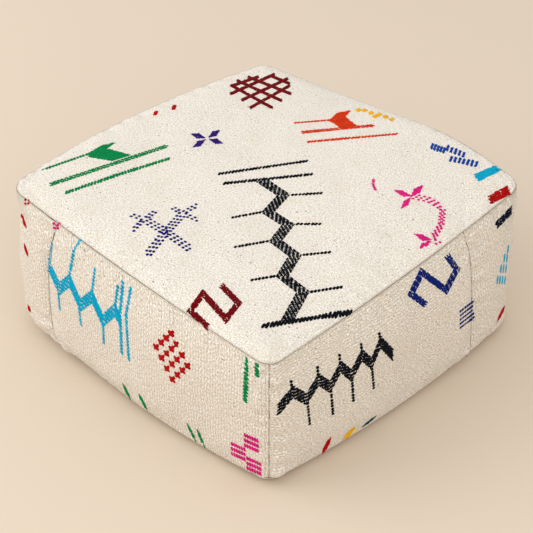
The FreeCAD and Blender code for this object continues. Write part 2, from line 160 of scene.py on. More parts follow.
def outline(place, reach, bow, ease=0.0):
    """Plan points of a square with rounded corners and bowed sides.

    place runs counterclockwise from 0 to 8: each corner takes one step and each side one. ease
    makes the wrapped corners rounder; without it they are tight and drawn in.
    """
    place, reach, bow, ease = np.broadcast_arrays(place, reach, bow, ease)
    place = np.mod(place, PLACES)
    rounding = []
    for side_x, side_y, radius in CORNERS:
        wrapped = radius == WRAPPED_RADIUS
        drawn = CORNER_DRAW * (1 - ease / CORNER_EASE) * wrapped
        pushed = FAR_PUSH * (side_x < 0 < side_y)
        rounding.append((radius + ease * wrapped, reach - drawn + pushed))
    points = np.zeros(place.shape + (2,))
    for index, (side_x, side_y, _) in enumerate(CORNERS):
        radius, corner_reach = rounding[index]
        next_radius, next_reach = rounding[(index + 1) % len(CORNERS)]
        share = place - 2 * index
        turn = QUARTER * (index - 1 + share)
        corner = np.stack([
            side_x * (corner_reach - radius) + radius * np.cos(turn),
            side_y * (corner_reach - radius) + radius * np.sin(turn),
        ], axis=-1)
        on_corner = (share >= 0) & (share < 1)
        points[on_corner] = corner[on_corner]
        step = share - 1
        start = radius - corner_reach
        along = start + (next_reach - next_radius - start) * step
        full_bow = bow + FAR_BOW * (index in FAR_SIDES)
        out = corner_reach + (next_reach - corner_reach) * step + full_bow * 4 * step * (1 - step)
        facing = QUARTER * index
        side = np.stack([
            out * math.cos(facing) - along * math.sin(facing),
            out * math.sin(facing) + along * math.cos(facing),
        ], axis=-1)
        on_side = (share >= 1) & (share < 2)
        points[on_side] = side[on_side]
    return points


def seam_outline(place, inset=0.0):
    """Plan points of the top seam, or of a line inside it."""
    return outline(place, HALF_SEAM - inset, SEAM_BOW)


def full_outline(place, inset=0.0):
    """Plan points of the sides where they are fullest, or of a line inside them."""
    return outline(place, HALF_SEAM + DRAWN_IN - inset, SIDE_BOW, CORNER_EASE)


# Lengths round the pouf, measured on its fullest outline.
TABLE_SIZE = 6401
SIDE_SAMPLES = 800
TABLE_PLACES = np.linspace(0, PLACES, TABLE_SIZE)
TABLE_LENGTHS = lengths_along(full_outline(TABLE_PLACES))
ROUND = TABLE_LENGTHS[-1]


def place_at(length):
    """Place on the outline at a length round the pouf."""
    turns = np.floor(length / ROUND)
    return np.interp(length - turns * ROUND, TABLE_LENGTHS, TABLE_PLACES) + turns * PLACES


def length_at(place):
    """Length round the pouf at a place on the outline."""
    turns = np.floor(place / PLACES)
    return np.interp(place - turns * PLACES, TABLE_PLACES, TABLE_LENGTHS) + turns * ROUND


def side_place(side, along):
    """Place where a side's own coordinate along it has a value."""
    places = np.linspace(2 * side + 1, 2 * side + 2, SIDE_SAMPLES)
    points = full_outline(places)
    facing = QUARTER * side
    reached = points[:, 1] * math.cos(facing) - points[:, 0] * math.sin(facing)
    return float(np.interp(along, reached, places))


FRONT_SIDE = 3
RIGHT_SIDE = 0
FRONT_CORNER = length_at(0.5)
RIGHT_SEAM = length_at(side_place(RIGHT_SIDE, RIGHT_SEAM_Y))
BACK_CORNER = length_at(4.5)
LEFT_SEAM = length_at(side_place(FRONT_SIDE, LEFT_SEAM_X))


def tuck_at(length):
    """Rounding of the sides into the base: most near the left seam, where the filling is loose."""
    away = np.mod(length - LEFT_SEAM + ROUND / 2, ROUND) - ROUND / 2
    return TUCK + LEFT_TUCK * np.exp(-(away / TUCK_SPREAD) ** 2)


WAVES = 9
LUMPS = 14


def wave(seed, shortest, longest):
    """Smooth random wave of about unit height along a length."""
    rng = np.random.default_rng(seed)
    pace = FULL_TURN / rng.uniform(shortest, longest, WAVES)
    phase = rng.uniform(0, FULL_TURN, WAVES)
    return lambda length: np.sin(np.multiply.outer(length, pace) + phase).sum(-1) / math.sqrt(WAVES / 2)


def lumps(seed, shortest, longest):
    """Smooth random field of about unit height in space."""
    rng = np.random.default_rng(seed)
    heading = unit(rng.normal(size=(LUMPS, 3)))
    pace = heading * (FULL_TURN / rng.uniform(shortest, longest, (LUMPS, 1)))
    phase = rng.uniform(0, FULL_TURN, LUMPS)
    return lambda points: np.sin(points @ pace.T + phase).sum(-1) / math.sqrt(LUMPS / 2)


def edge_distance(x, y):
    """Distance in from the top seam, measured in plan."""
    radius = np.where(x * y < 0, SEWN_RADIUS, WRAPPED_RADIUS)

    def past(out, along, far):
        to_wrapped = np.clip(0.5 + 0.5 * np.sign(out) * along / HALF_SEAM, 0, 1)
        drawn = CORNER_DRAW * to_wrapped - FAR_PUSH * far * (1 - to_wrapped)
        straight = HALF_SEAM - 0.5 * (SEWN_RADIUS + WRAPPED_RADIUS)
        bow = (SEAM_BOW + FAR_BOW * far) * np.clip(1 - (along / straight) ** 2, 0, 1)
        return np.abs(out) - HALF_SEAM + drawn - bow + radius

    past_x = past(x, y, x < 0)
    past_y = past(y, x, y > 0)
    beyond = np.hypot(np.maximum(past_x, 0), np.maximum(past_y, 0))
    return np.maximum(radius - beyond - np.minimum(np.maximum(past_x, past_y), 0), 0)


def top_height(x, y):
    """Height of the top: a seam with its own height at each corner, a plump edge, a slight crown."""
    to_right = 0.5 + 0.5 * x / HALF_SEAM
    to_back = 0.5 + 0.5 * y / HALF_SEAM
    near_side = LEFT_HEIGHT + (FRONT_HEIGHT - LEFT_HEIGHT) * to_right
    far_side = BACK_HEIGHT + (RIGHT_HEIGHT - BACK_HEIGHT) * to_right
    seam = near_side + (far_side - near_side) * to_back
    left_rise = LEFT_RISE * np.clip(1 - to_right, 0, 1) ** 2 * 4 * to_back * (1 - to_back)
    back_bump = to_back ** 2 * np.exp(-((x - BACK_RISE_X) / BACK_RISE_SPREAD) ** 2)
    swell = np.sin(QUARTER * np.clip(edge_distance(x, y) / EDGE_ROLL, 0, 1))
    crown = np.clip(1 - (x / HALF_SEAM) ** 2, 0, 1) * np.clip(1 - (y / HALF_SEAM) ** 2, 0, 1)
    plump = EDGE_SWELL * swell * (1 - EDGE_SWELL_LOSS * back_bump)
    return seam + left_rise + BACK_RISE * back_bump + plump + CROWN_SWELL * crown


def seam_height(place, depth):
    """Height of the top seam, or of a layer under it."""
    edge = seam_outline(place, depth)
    return top_height(edge[..., 0], edge[..., 1]) - depth


def side_points(length, share, depth=0.0):
    """Points of the stuffed sides; share goes from the base seam to the top seam."""
    place = place_at(length)
    seam = seam_height(place, depth)
    z = BASE_SEAM + (seam - BASE_SEAM) * share
    fullness = 1 - np.clip(z / seam, 0, 1) ** ROLL_POWER
    tuck = tuck_at(length)
    low = np.maximum(tuck - z, 0)
    inset = tuck - np.sqrt(tuck ** 2 - low ** 2)
    reach = HALF_SEAM + DRAWN_IN * fullness - inset - depth
    bow = SEAM_BOW + (SIDE_BOW - SEAM_BOW) * fullness
    return np.concatenate([outline(place, reach, bow, CORNER_EASE * fullness), z[..., None]], axis=-1)


def ring_lengths(cells):
    """Lengths round the pouf of a ring's points: so many cells a side, from the front corner on."""
    keys = []
    for side in range(4):
        keys.append(length_at(2 * side + 0.5))
        keys.append(length_at(side_place(side, 0)))
    keys.append(keys[0] + ROUND)
    return np.concatenate([
        np.linspace(start, end, cells // 2, endpoint=False)
        for start, end in zip(keys[:-1], keys[1:])])


def ring(cells, plan, inset, z):
    """Ring of points round the pouf, inside one of its two outlines."""
    points = plan(place_at(ring_lengths(cells)), inset)
    return np.concatenate([points, np.broadcast_to(z, len(points))[:, None]], axis=1)


def ring_numbers(cells):
    """For a square grid filled in from a ring: each grid point's number on the ring, or -1 inside."""
    numbers = np.full((cells + 1, cells + 1), -1)
    step = np.arange(cells + 1)
    numbers[step, 0] = (3 * cells + step) % (4 * cells)
    numbers[cells, step] = step
    numbers[step, cells] = 2 * cells - step
    numbers[0, step] = 3 * cells - step
    return numbers


def patch(edge):
    """Square grid of points that fills a ring."""
    cells = len(edge) // 4
    around = edge[ring_numbers(cells)]
    share = np.linspace(0, 1, cells + 1)
    a = share[:, None, None]
    b = share[None, :, None]
    front, back = around[:, :1], around[:, -1:]
    left, right = around[:1, :], around[-1:, :]
    across = (1 - b) * front + b * back + (1 - a) * left + a * right
    corners = (1 - a) * (1 - b) * around[0, 0] + a * (1 - b) * around[-1, 0]
    return across - corners - (1 - a) * b * around[0, -1] - a * b * around[-1, -1]


def grid_numbers(grid):
    """Numbers of the points of a grid."""
    return np.arange(grid.shape[0] * grid.shape[1]).reshape(grid.shape[:2])


def closed(numbers):
    """Rows of point numbers that end where they began."""
    return np.concatenate([numbers, numbers[:, :1]], axis=1)


def grid_quads(numbers):
    """Four-sided faces of a grid of point numbers."""
    corners = [numbers[:-1, :-1], numbers[1:, :-1], numbers[1:, 1:], numbers[:-1, 1:]]
    return np.stack([corner.ravel() for corner in corners], axis=1)


def grid_normals(grid):
    """Unit normals of a grid of points."""
    return unit(np.cross(np.gradient(grid, axis=0), np.gradient(grid, axis=1)))


def grid_loop(numbers):
    """Numbers round the edge of a grid, counterclockwise."""
    return np.concatenate([
        numbers[:-1, 0], numbers[-1, :-1], numbers[:0:-1, -1], numbers[0, :0:-1]])


def vertex_normals(points, faces):
    """Unit normals at the points of a mesh of four-sided faces."""
    a, b, c, d = (points[faces[:, corner]] for corner in range(4))
    across = np.cross(c - a, d - b)
    normals = np.zeros_like(points)
    for corner in range(4):
        np.add.at(normals, faces[:, corner], across)
    return unit(normals)


def cubic_sample(values, x, y):
    """Smooth samples of a grid of values at fractional positions."""
    def weights(t):
        return (
            ((-0.5 * t + 1) * t - 0.5) * t,
            (1.5 * t - 2.5) * t * t + 1,
            ((-1.5 * t + 2) * t + 0.5) * t,
            (0.5 * t - 0.5) * t * t,
        )

    rows, columns = values.shape[:2]
    low_x = np.floor(x).astype(int)
    low_y = np.floor(y).astype(int)
    total = 0.0
    for i, weight_x in enumerate(weights(x - low_x)):
        row = np.clip(low_x + i - 1, 0, rows - 1)
        for j, weight_y in enumerate(weights(y - low_y)):
            column = np.clip(low_y + j - 1, 0, columns - 1)
            total = total + values[row, column] * (weight_x * weight_y)[..., None]
    return total


def new_object(name, points, faces, material, uv=None, tone=None):
    """Smooth-shaded mesh object."""
    mesh = bpy.data.meshes.new(name)
    mesh.from_pydata(np.asarray(points).tolist(), [], [list(map(int, face)) for face in faces])
    mesh.polygons.foreach_set("use_smooth", np.ones(len(mesh.polygons), bool))
    corner_points = np.zeros(len(mesh.loops), int)
    mesh.loops.foreach_get("vertex_index", corner_points)
    if uv is not None:
        layer = mesh.uv_layers.new(name="weave")
        layer.data.foreach_set("uv", np.asarray(uv)[corner_points].astype(np.float32).ravel())
    if tone is not None:
        shade = mesh.attributes.new("tone", "FLOAT", "POINT")
        shade.data.foreach_set("value", np.asarray(tone, np.float32))
    mesh.materials.append(material)
    mesh.update()
    item = bpy.data.objects.new(name, mesh)
    scene.collection.objects.link(item)
    return item


def cloth_piece(name, points, faces, loop, thickness, material, uv=None, normals=None):
    """Cloth of some thickness: the outside, the inside and the cut edge."""
    uv = points[:, :2] if uv is None else uv
    normals = vertex_normals(points, faces) if normals is None else normals
    count = len(points)
    following = np.roll(loop, -1)
    rim = np.stack([following, loop, loop + count, following + count], axis=1)
    both = np.concatenate([points, points - normals * thickness])
    all_faces = np.concatenate([faces, faces[:, ::-1] + count, rim])
    return new_object(name, both, all_faces, material, np.concatenate([uv, uv]))


# Cloth simulation of the whole cover.

CAGE_CELLS = 52
CAGE_ROWS = 20
CAGE_FRAMES = 20
CAGE_CAP = 0.007
CAGE_CLOTH = {
    "quality": 6,
    "mass": 0.25,
    "tension_stiffness": 20,
    "compression_stiffness": 20,
    "shear_stiffness": 6,
    "bending_stiffness": 0.6,
    "tension_damping": 12,
    "compression_damping": 12,
    "shear_damping": 8,
    "air_damping": 4,
    "vertex_group_mass": "held",
    "shrink_min": -0.018,
    "use_pressure": True,
    "uniform_pressure_force": 4.0,
}
cage_lengths = ring_lengths(CAGE_CELLS)


def swell_cover():
    """Blows the cover up a little with its seams held, and returns how far its points move."""
    around = 4 * CAGE_CELLS
    length, share = np.meshgrid(cage_lengths, np.linspace(0, 1, CAGE_ROWS))
    sides = side_points(length, share)
    top = patch(sides[-1])
    top[..., 2] = top_height(top[..., 0], top[..., 1])
    floor_edge = ring(CAGE_CELLS, full_outline, tuck_at(cage_lengths), 0.0)
    floor = patch(floor_edge)
    inner = ring_numbers(CAGE_CELLS) < 0
    side_numbers = grid_numbers(sides)
    top_numbers = ring_numbers(CAGE_CELLS) + side_numbers[-1, 0]
    count = side_numbers.size
    top_numbers[inner] = count + np.arange(inner.sum())
    count += inner.sum()
    edge_numbers = count + np.arange(around)
    floor_numbers = ring_numbers(CAGE_CELLS) + count
    count += around
    floor_numbers[inner] = count + np.arange(inner.sum())
    points = np.concatenate([sides.reshape(-1, 3), top[inner], floor_edge, floor[inner]])
    skirt = np.stack([edge_numbers, side_numbers[0]])
    faces = np.concatenate([
        grid_quads(closed(side_numbers))[:, ::-1],
        grid_quads(closed(skirt))[:, ::-1],
        grid_quads(top_numbers),
        grid_quads(floor_numbers)[:, ::-1],
    ])
    mesh = bpy.data.meshes.new("cage")
    mesh.from_pydata(points.tolist(), [], faces.tolist())
    cage = bpy.data.objects.new("cage", mesh)
    scene.collection.objects.link(cage)
    held = cage.vertex_groups.new(name="held")
    upright = [int(np.argmin(np.abs(cage_lengths - np.mod(seam, ROUND))))
               for seam in (FRONT_CORNER, RIGHT_SEAM, BACK_CORNER, LEFT_SEAM)]
    seams = np.concatenate([side_numbers[-1], side_numbers[0], *side_numbers[:, upright].T])
    still = np.concatenate([seams, edge_numbers, floor_numbers.ravel()])
    held.add([int(number) for number in np.unique(still)], 1.0, "REPLACE")
    cloth = cage.modifiers.new("cloth", "CLOTH")
    for key, value in CAGE_CLOTH.items():
        setattr(cloth.settings, key, value)
    cloth.settings.effector_weights.gravity = 0
    cloth.collision_settings.use_collision = False
    cloth.point_cache.frame_start = 1
    cloth.point_cache.frame_end = CAGE_FRAMES
    for number in range(1, CAGE_FRAMES + 1):
        scene.frame_set(number)
    result = cage.evaluated_get(bpy.context.evaluated_depsgraph_get())
    moved = np.zeros(len(points) * 3, np.float32)
    result.data.vertices.foreach_get("co", moved)
    moved = moved.reshape(-1, 3) - points
    scene.frame_set(1)
    bpy.data.objects.remove(cage)
    bpy.data.meshes.remove(mesh)
    far = np.linalg.norm(moved, axis=1, keepdims=True)
    moved = moved * (CAGE_CAP / (CAGE_CAP + far))
    return moved[closed(side_numbers)], moved[top_numbers]


side_swell, top_swell = swell_cover()


def swell_at(length, share):
    """How far the cloth simulation moves points of the sides."""
    keys = np.append(cage_lengths, cage_lengths[0] + ROUND)
    start = cage_lengths[0]
    column = np.interp(np.mod(length - start, ROUND) + start, keys, np.arange(len(keys)))
    return cubic_sample(side_swell, share * (CAGE_ROWS - 1), column)


# Procedural materials.


def linear(red, green, blue):
    """Scene colour from a screen colour of 0 to 255."""
    def channel(value):
        value = value / 255
        return value / 12.92 if value <= 0.04045 else ((value + 0.055) / 1.055) ** 2.4
    return (channel(red), channel(green), channel(blue), 1.0)


def toned(color, share):
    """A colour made lighter or darker."""
    return tuple(min(value * share, 1.0) for value in color[:3]) + (1.0,)


class Surface:
    """Material with its nodes; an input is given a number, a colour or another node's output."""

    def __init__(self, name):
        self.material = bpy.data.materials.new(name)
        self.material.use_nodes = True
        self.tree = self.material.node_tree
        self.shader = self.tree.nodes["Principled BSDF"]

    def feed(self, socket, value):
        if isinstance(value, bpy.types.NodeSocket):
            self.tree.links.new(value, socket)
        else:
            socket.default_value = value

    def node(self, kind, inputs, output=0, **settings):
        made = self.tree.nodes.new(kind)
        for key, value in settings.items():
            setattr(made, key, value)
        for key, value in inputs.items():
            self.feed(made.inputs[key], value)
        return made.outputs[output]

    def math(self, operation, *values):
        return self.node("ShaderNodeMath", dict(enumerate(values)), operation=operation)

    def times(self, first, second):
        return self.math("MULTIPLY", first, second)

    def plus(self, value, share, other):
        return self.math("MULTIPLY_ADD", value, share, other)

    def blend(self, share, first, second):
        return self.node("ShaderNodeMix", {0: share, 6: first, 7: second}, output=2, data_type="RGBA")

    def ramp(self, value, low, high):
        return self.node(
            "ShaderNodeMapRange", {0: value, 1: low, 2: high}, interpolation_type="SMOOTHSTEP")

    def tint(self, shade, value, low, high, strength, color):
        return self.blend(self.times(self.ramp(value, low, high), strength), shade, color)

    def noise(self, vector, scale, detail):
        return self.node("ShaderNodeTexNoise", {"Vector": vector, "Scale": scale, "Detail": detail})

    def streaks(self, vector, scale, detail):
        drawn_out = self.node("ShaderNodeVectorMath", {0: vector, 1: scale}, operation="MULTIPLY")
        return self.noise(drawn_out, 1.0, detail)

    def sway(self, vector, scale, amount):
        return self.times(self.math("SUBTRACT", self.noise(vector, scale, 2.0), 0.5), amount)

    def rows(self, coordinate, pitch, drift):
        return self.math("ADD", self.times(coordinate, 1 / pitch), drift)

    def ridge(self, row):
        return self.math("ABSOLUTE", self.math("SINE", self.times(row, math.pi)))

    def weave_place(self):
        return self.node("ShaderNodeUVMap", {}, uv_map="weave")

    def object_place(self):
        return self.node("ShaderNodeTexCoord", {}, output=3)

    def parts(self, vector):
        made = self.tree.nodes.new("ShaderNodeSeparateXYZ")
        self.feed(made.inputs[0], vector)
        return made.outputs[0], made.outputs[1]

    def bump(self, height, distance, strength, below=None):
        inputs = {"Height": height, "Distance": distance, "Strength": strength}
        if below is not None:
            inputs["Normal"] = below
        return self.node("ShaderNodeBump", inputs)

    def finish(self, color, rough, normal, **plain):
        self.feed(self.shader.inputs["Base Color"], color)
        self.feed(self.shader.inputs["Roughness"], rough)
        self.feed(self.shader.inputs["Normal"], normal)
        for key, value in plain.items():
            self.shader.inputs[key.replace("_", " ")].default_value = value
        return self.material


def woven(name, color, rib, pick, relief, flecks, streak):
    """Weft-faced cloth: rows of small oval grains over the warps, uneven handspun yarn, flecks."""
    cloth = Surface(name)
    place = cloth.weave_place()
    u, v = cloth.parts(place)
    drift = cloth.sway(place, 38.0, 1.4)
    warp = cloth.rows(u, rib, drift)
    weft = cloth.rows(v, pick, drift)
    shift = cloth.times(cloth.math("FLOOR", warp), math.pi)
    beat = cloth.math("COSINE", cloth.math("ADD", cloth.times(weft, FULL_TURN), shift))
    grain = cloth.times(cloth.ridge(warp), cloth.plus(beat, 0.28, 0.72))
    slub = cloth.streaks(place, (60.0, 520.0, 1.0), 2.0)
    fuzz = cloth.noise(place, 1500.0, 2.0)
    height = cloth.plus(fuzz, 0.25, cloth.plus(slub, 0.55, grain))
    soft = cloth.bump(cloth.noise(place, 70.0, 2.0), 0.0016, 0.35)
    normal = cloth.bump(height, relief, 0.75, soft)
    # Darker between the grains, where the weave dips: painted shade.
    shade = cloth.blend(cloth.ramp(grain, 0.0, 0.55), toned(color, 0.80), color)
    bands = cloth.streaks(place, (6.0, 170.0, 1.0), 2.0)
    shade = cloth.tint(shade, bands, 0.35, 0.75, streak, toned(color, 0.86))
    cloud = cloth.noise(place, 9.0, 3.0)
    shade = cloth.tint(shade, cloud, 0.42, 0.72, 0.35, toned(color, 0.93))
    pale = cloth.streaks(place, (90.0, 400.0, 1.0), 1.0)
    shade = cloth.tint(shade, pale, 0.58, 0.72, 0.45, toned(color, 1.08))
    speck = cloth.streaks(place, (210.0, 460.0, 1.0), 1.0)
    shade = cloth.tint(shade, speck, 0.735, 0.80, flecks, linear(128, 98, 70))
    return cloth.finish(
        shade, cloth.plus(fuzz, 0.14, 0.80), normal,
        Sheen_Weight=0.22, Sheen_Roughness=0.55, Specular_IOR_Level=0.22)


CREAM = linear(251, 247, 240)
KILIM_RIB = 0.0050


def kilim_cloth(name, ribs, pit_shade, grain, level=False):
    """Cream handspun flat weave: yarn nubs, ribs, painted shade in pits and furrows, brown flecks, hairs."""
    cloth = Surface(name)
    place = cloth.weave_place()
    u, v = cloth.parts(place)
    drift = cloth.sway(place, 30.0, 1.5)
    ridge = cloth.ridge(cloth.rows(v if level else u, KILIM_RIB, drift))
    nub = cloth.ramp(cloth.streaks(place, grain, 2.0), 0.36, 0.60)
    slub = cloth.streaks(place, (55.0, 480.0, 1.0), 2.0)
    fuzz = cloth.noise(place, 1500.0, 2.0)
    height = cloth.plus(fuzz, 0.3, cloth.plus(slub, 0.5, cloth.plus(ridge, ribs, nub)))
    soft = cloth.bump(cloth.noise(place, 60.0, 2.0), 0.0016, 0.35)
    normal = cloth.bump(height, 0.0011, 0.8, soft)
    # The pits between the nubs take a darker colour: painted shade.
    shade = cloth.blend(nub, pit_shade, CREAM)
    # Darker colour in the furrows between the ribs: painted shade.
    furrow_shade = cloth.math("SUBTRACT", 1.0, ridge)
    shade = cloth.tint(shade, furrow_shade, 0.3, 0.9, ribs, linear(200, 184, 158))
    haze = cloth.noise(place, 24.0, 3.0)
    shade = cloth.tint(shade, haze, 0.48, 0.74, 0.25, linear(228, 214, 192))
    hair = cloth.streaks(place, (75.0, 820.0, 1.0), 1.0)
    shade = cloth.tint(shade, hair, 0.67, 0.77, 0.45, linear(166, 138, 104))
    patchy = cloth.ramp(cloth.noise(place, 16.0, 2.0), 0.42, 0.66)
    speck = cloth.streaks(place, (230.0, 330.0, 1.0), 1.0)
    shade = cloth.tint(shade, speck, 0.67, 0.72, cloth.plus(patchy, 0.5, 0.45), linear(104, 78, 54))
    return cloth.finish(
        shade, cloth.plus(fuzz, 0.14, 0.80), normal,
        Sheen_Weight=0.18, Sheen_Roughness=0.55, Specular_IOR_Level=0.2)


PLY_ALONG = 0.0013
PLY_ACROSS = 0.0016


def spun(name, color):
    """Dyed handspun yarn: plied strands, uneven dye, a soft sheen."""
    yarn = Surface(name)
    u, v = yarn.parts(yarn.weave_place())
    slope = yarn.math("ADD", yarn.times(u, 1 / PLY_ALONG), yarn.times(v, 1 / PLY_ACROSS))
    ply = yarn.math("SINE", yarn.times(slope, FULL_TURN))
    space = yarn.object_place()
    hair = yarn.noise(space, 2600.0, 2.0)
    normal = yarn.bump(yarn.plus(ply, 0.5, hair), 0.00022, 0.7)
    tone = yarn.node("ShaderNodeAttribute", {}, output=2, attribute_name="tone")
    shade = yarn.blend(tone, toned(color, 0.62), toned(color, 1.10))
    dye = yarn.noise(space, 55.0, 3.0)
    shade = yarn.tint(shade, dye, 0.4, 0.7, 0.35, toned(color, 0.74))
    worn = yarn.noise(space, 420.0, 2.0)
    shade = yarn.tint(shade, worn, 0.64, 0.80, 0.05, linear(214, 202, 184))
    return yarn.finish(
        shade, yarn.plus(hair, 0.2, 0.74), normal,
        Sheen_Weight=0.01, Sheen_Roughness=0.5, Specular_IOR_Level=0.05)


def fibrous(name, color, scale, relief):
    """Matted filling: fibre or foam, with a grainy, open surface."""
    filling = Surface(name)
    space = filling.object_place()
    cells = filling.node("ShaderNodeTexVoronoi", {"Vector": space, "Scale": scale})
    wisps = filling.noise(space, scale * 0.4, 5.0)
    # Darker in the pores, where the surface dips: painted shade.
    shade = filling.blend(filling.ramp(cells, 0.0, 0.6), toned(color, 0.72), color)
    shade = filling.blend(filling.times(wisps, 0.4), shade, toned(color, 1.1))
    normal = filling.bump(filling.plus(wisps, 0.8, cells), relief, 0.6)
    return filling.finish(shade, filling.plus(wisps, 0.15, 0.82), normal, Sheen_Weight=0.1)


def moulded(name, color, metallic, rough_low, rough_high, relief):
    """Cast or moulded zip parts: fine grain, handling marks, darker in the recesses: painted shade on the
    teeth, tarnish on the brass.
    """
    part = Surface(name)
    space = part.object_place()
    grain = part.noise(space, 1800.0, 3.0)
    marks_and_shade = part.streaks(space, (260.0, 1400.0, 900.0), 3.0)
    # Darker where the streaks dip: painted shade on the teeth, tarnish on the brass.
    shade = part.blend(part.ramp(marks_and_shade, 0.35, 0.75), toned(color, 0.72), color)
    rough = part.plus(grain, rough_high - rough_low, rough_low)
    normal = part.bump(part.plus(marks_and_shade, 0.5, grain), relief, 0.4)
    return part.finish(shade, rough, normal, Metallic=metallic)


# Pit colours are painted shade; the sides' are darker than the top's, a more shaded copy of the same cloth.
SIDE_PIT_SHADE = linear(206, 191, 168)
kilim_top = kilim_cloth("kilim_cream_top", 0.06, linear(222, 212, 196), (400.0, 500.0, 1.0))
kilim_side = kilim_cloth("kilim_cream_side", 0.60, SIDE_PIT_SHADE, (620.0, 300.0, 1.0))
kilim_level = kilim_cloth("kilim_cream_level", 0.50, SIDE_PIT_SHADE, (300.0, 620.0, 1.0), True)
canvas = woven("base_canvas", linear(206, 192, 166), 0.0016, 0.0012, 0.0005, 0.25, 0.35)
calico = woven("liner_calico", linear(236, 229, 212), 0.0009, 0.0008, 0.0003, 0.35, 0.25)
tape_cloth = woven("zip_tape_cloth", linear(196, 180, 150), 0.0012, 0.0007, 0.0004, 0.1, 0.3)
wadding = fibrous("fibre_wadding", linear(240, 240, 236), 260.0, 0.0012)
foam = fibrous("foam_block_cells", linear(232, 214, 150), 900.0, 0.0006)
teeth = moulded("zip_teeth_moulded", linear(150, 128, 96), 0.0, 0.30, 0.48, 0.0001)
brass = moulded("zip_metal_brass", linear(178, 148, 96), 1.0, 0.24, 0.42, 0.00008)

YARN_COLORS = {
    "charcoal": (9, 14, 24),
    "darkred": (114, 4, 14),
    "red": (178, 12, 13),
    "green": (0, 137, 75),
    "purple": (51, 25, 117),
    "indigo": (25, 23, 113),
    "orange": (218, 56, 11),
    "yellow": (243, 183, 30),
    "blue": (12, 67, 163),
    "hookblue": (13, 35, 116),
    "cyan": (0, 170, 208),
    "pink": (222, 36, 132),
    "navy": (12, 22, 40),
    "teal": (14, 66, 78),
}
YARNS = {key: spun(f"yarn_{key}", linear(*color)) for key, color in YARN_COLORS.items()}
YARNS["thread"] = spun("sewing_thread", linear(186, 160, 126))
# Darker thread for the upright seams: real thread, darkened to paint the shade of their grooves.
YARNS["seam_shade_thread"] = spun("sewing_thread_seam_shade", linear(122, 90, 60))

# Cover panels.

TOP_PUCKERS = 0.0004
SIDE_PUCKERS = 0.0009
FOOT_PUCKERS = 0.3
PUCKER_REACH = 0.009
SHORT_GATHERS = (0.016, 0.038)
LONG_GATHERS = (0.05, 0.11)
LUMP = 0.0014
RIPPLE = 0.00022
CALM = 0.028
SWELL_CALM = 0.012
ROLL_UV = 0.0008
cover_lumps = lumps(21, 0.07, 0.22)
cover_ripple = lumps(22, 0.022, 0.05)


def pucker(distance, length, seed):
    """Small gathers beside a seam: none in the seam, most a finger's breadth from it."""
    near = distance / PUCKER_REACH
    gathers = wave(seed, *SHORT_GATHERS)(length) + 0.5 * wave(seed + 1, *LONG_GATHERS)(length)
    return gathers * near * np.exp(1 - near)


# Soft creases: ends, depth, and the axis that points out of the panel there.
CREASES = (
    ((-0.215, -0.240, 0.0), (-0.140, -0.150, 0.0), 0.0011, 2),
    ((-0.115, -0.265, 0.0), (-0.070, -0.205, 0.0), 0.0009, 2),
    ((0.055, -0.262, 0.0), (0.085, -0.215, 0.0), 0.0008, 2),
    ((-0.250, -0.060, 0.0), (-0.160, -0.020, 0.0), 0.0008, 2),
    ((0.235, 0.090, 0.0), (0.262, 0.170, 0.0), 0.0009, 2),
    ((0.0, -0.262, 0.052), (0.0, -0.205, 0.046), 0.0013, 0),
    ((0.0, -0.268, 0.034), (0.0, -0.190, 0.031), 0.0012, 0),
    ((-0.120, 0.0, 0.190), (-0.085, 0.0, 0.150), 0.0010, 1),
    ((0.215, 0.0, 0.060), (0.258, 0.0, 0.048), 0.0011, 1),
)
CREASE_WIDTH = 0.0045


def creases(points):
    """Depth of the creases at points of the cover."""
    total = np.zeros(points.shape[:-1])
    for start, end, depth, axis in CREASES:
        along = np.subtract(end, start)
        across = points - start
        across[..., axis] = 0
        share = np.clip(across @ along / (along @ along), 0, 1)
        away = np.linalg.norm(across - share[..., None] * along, axis=-1)
        total += depth * np.sin(math.pi * share) * np.exp(-(away / CREASE_WIDTH) ** 2)
    return total


def rolled_edge(edge, outward, normal, into, roll, flap):
    """Rings that roll an edge over into its seam, on into the allowance and then along the flap."""
    turn = np.arccos(np.clip((outward * into).sum(1), -1, 1))[:, None]
    centre = edge - normal * roll
    rings = []
    for step in np.linspace(0, 1, ROLL_STEPS)[1:]:
        angle = turn * step
        rings.append(centre + roll * (np.sin(angle) * outward + np.cos(angle) * normal))
    seam = rings[-1]
    for share in (0.5, 1.0):
        rings.append(seam + into * ALLOWANCE * share)
    allowance_end = rings[-1]
    for share in FLAP_SHARES if flap else ():
        rings.append(allowance_end + np.array([0, 0, -flap * share]))
    return rings, seam


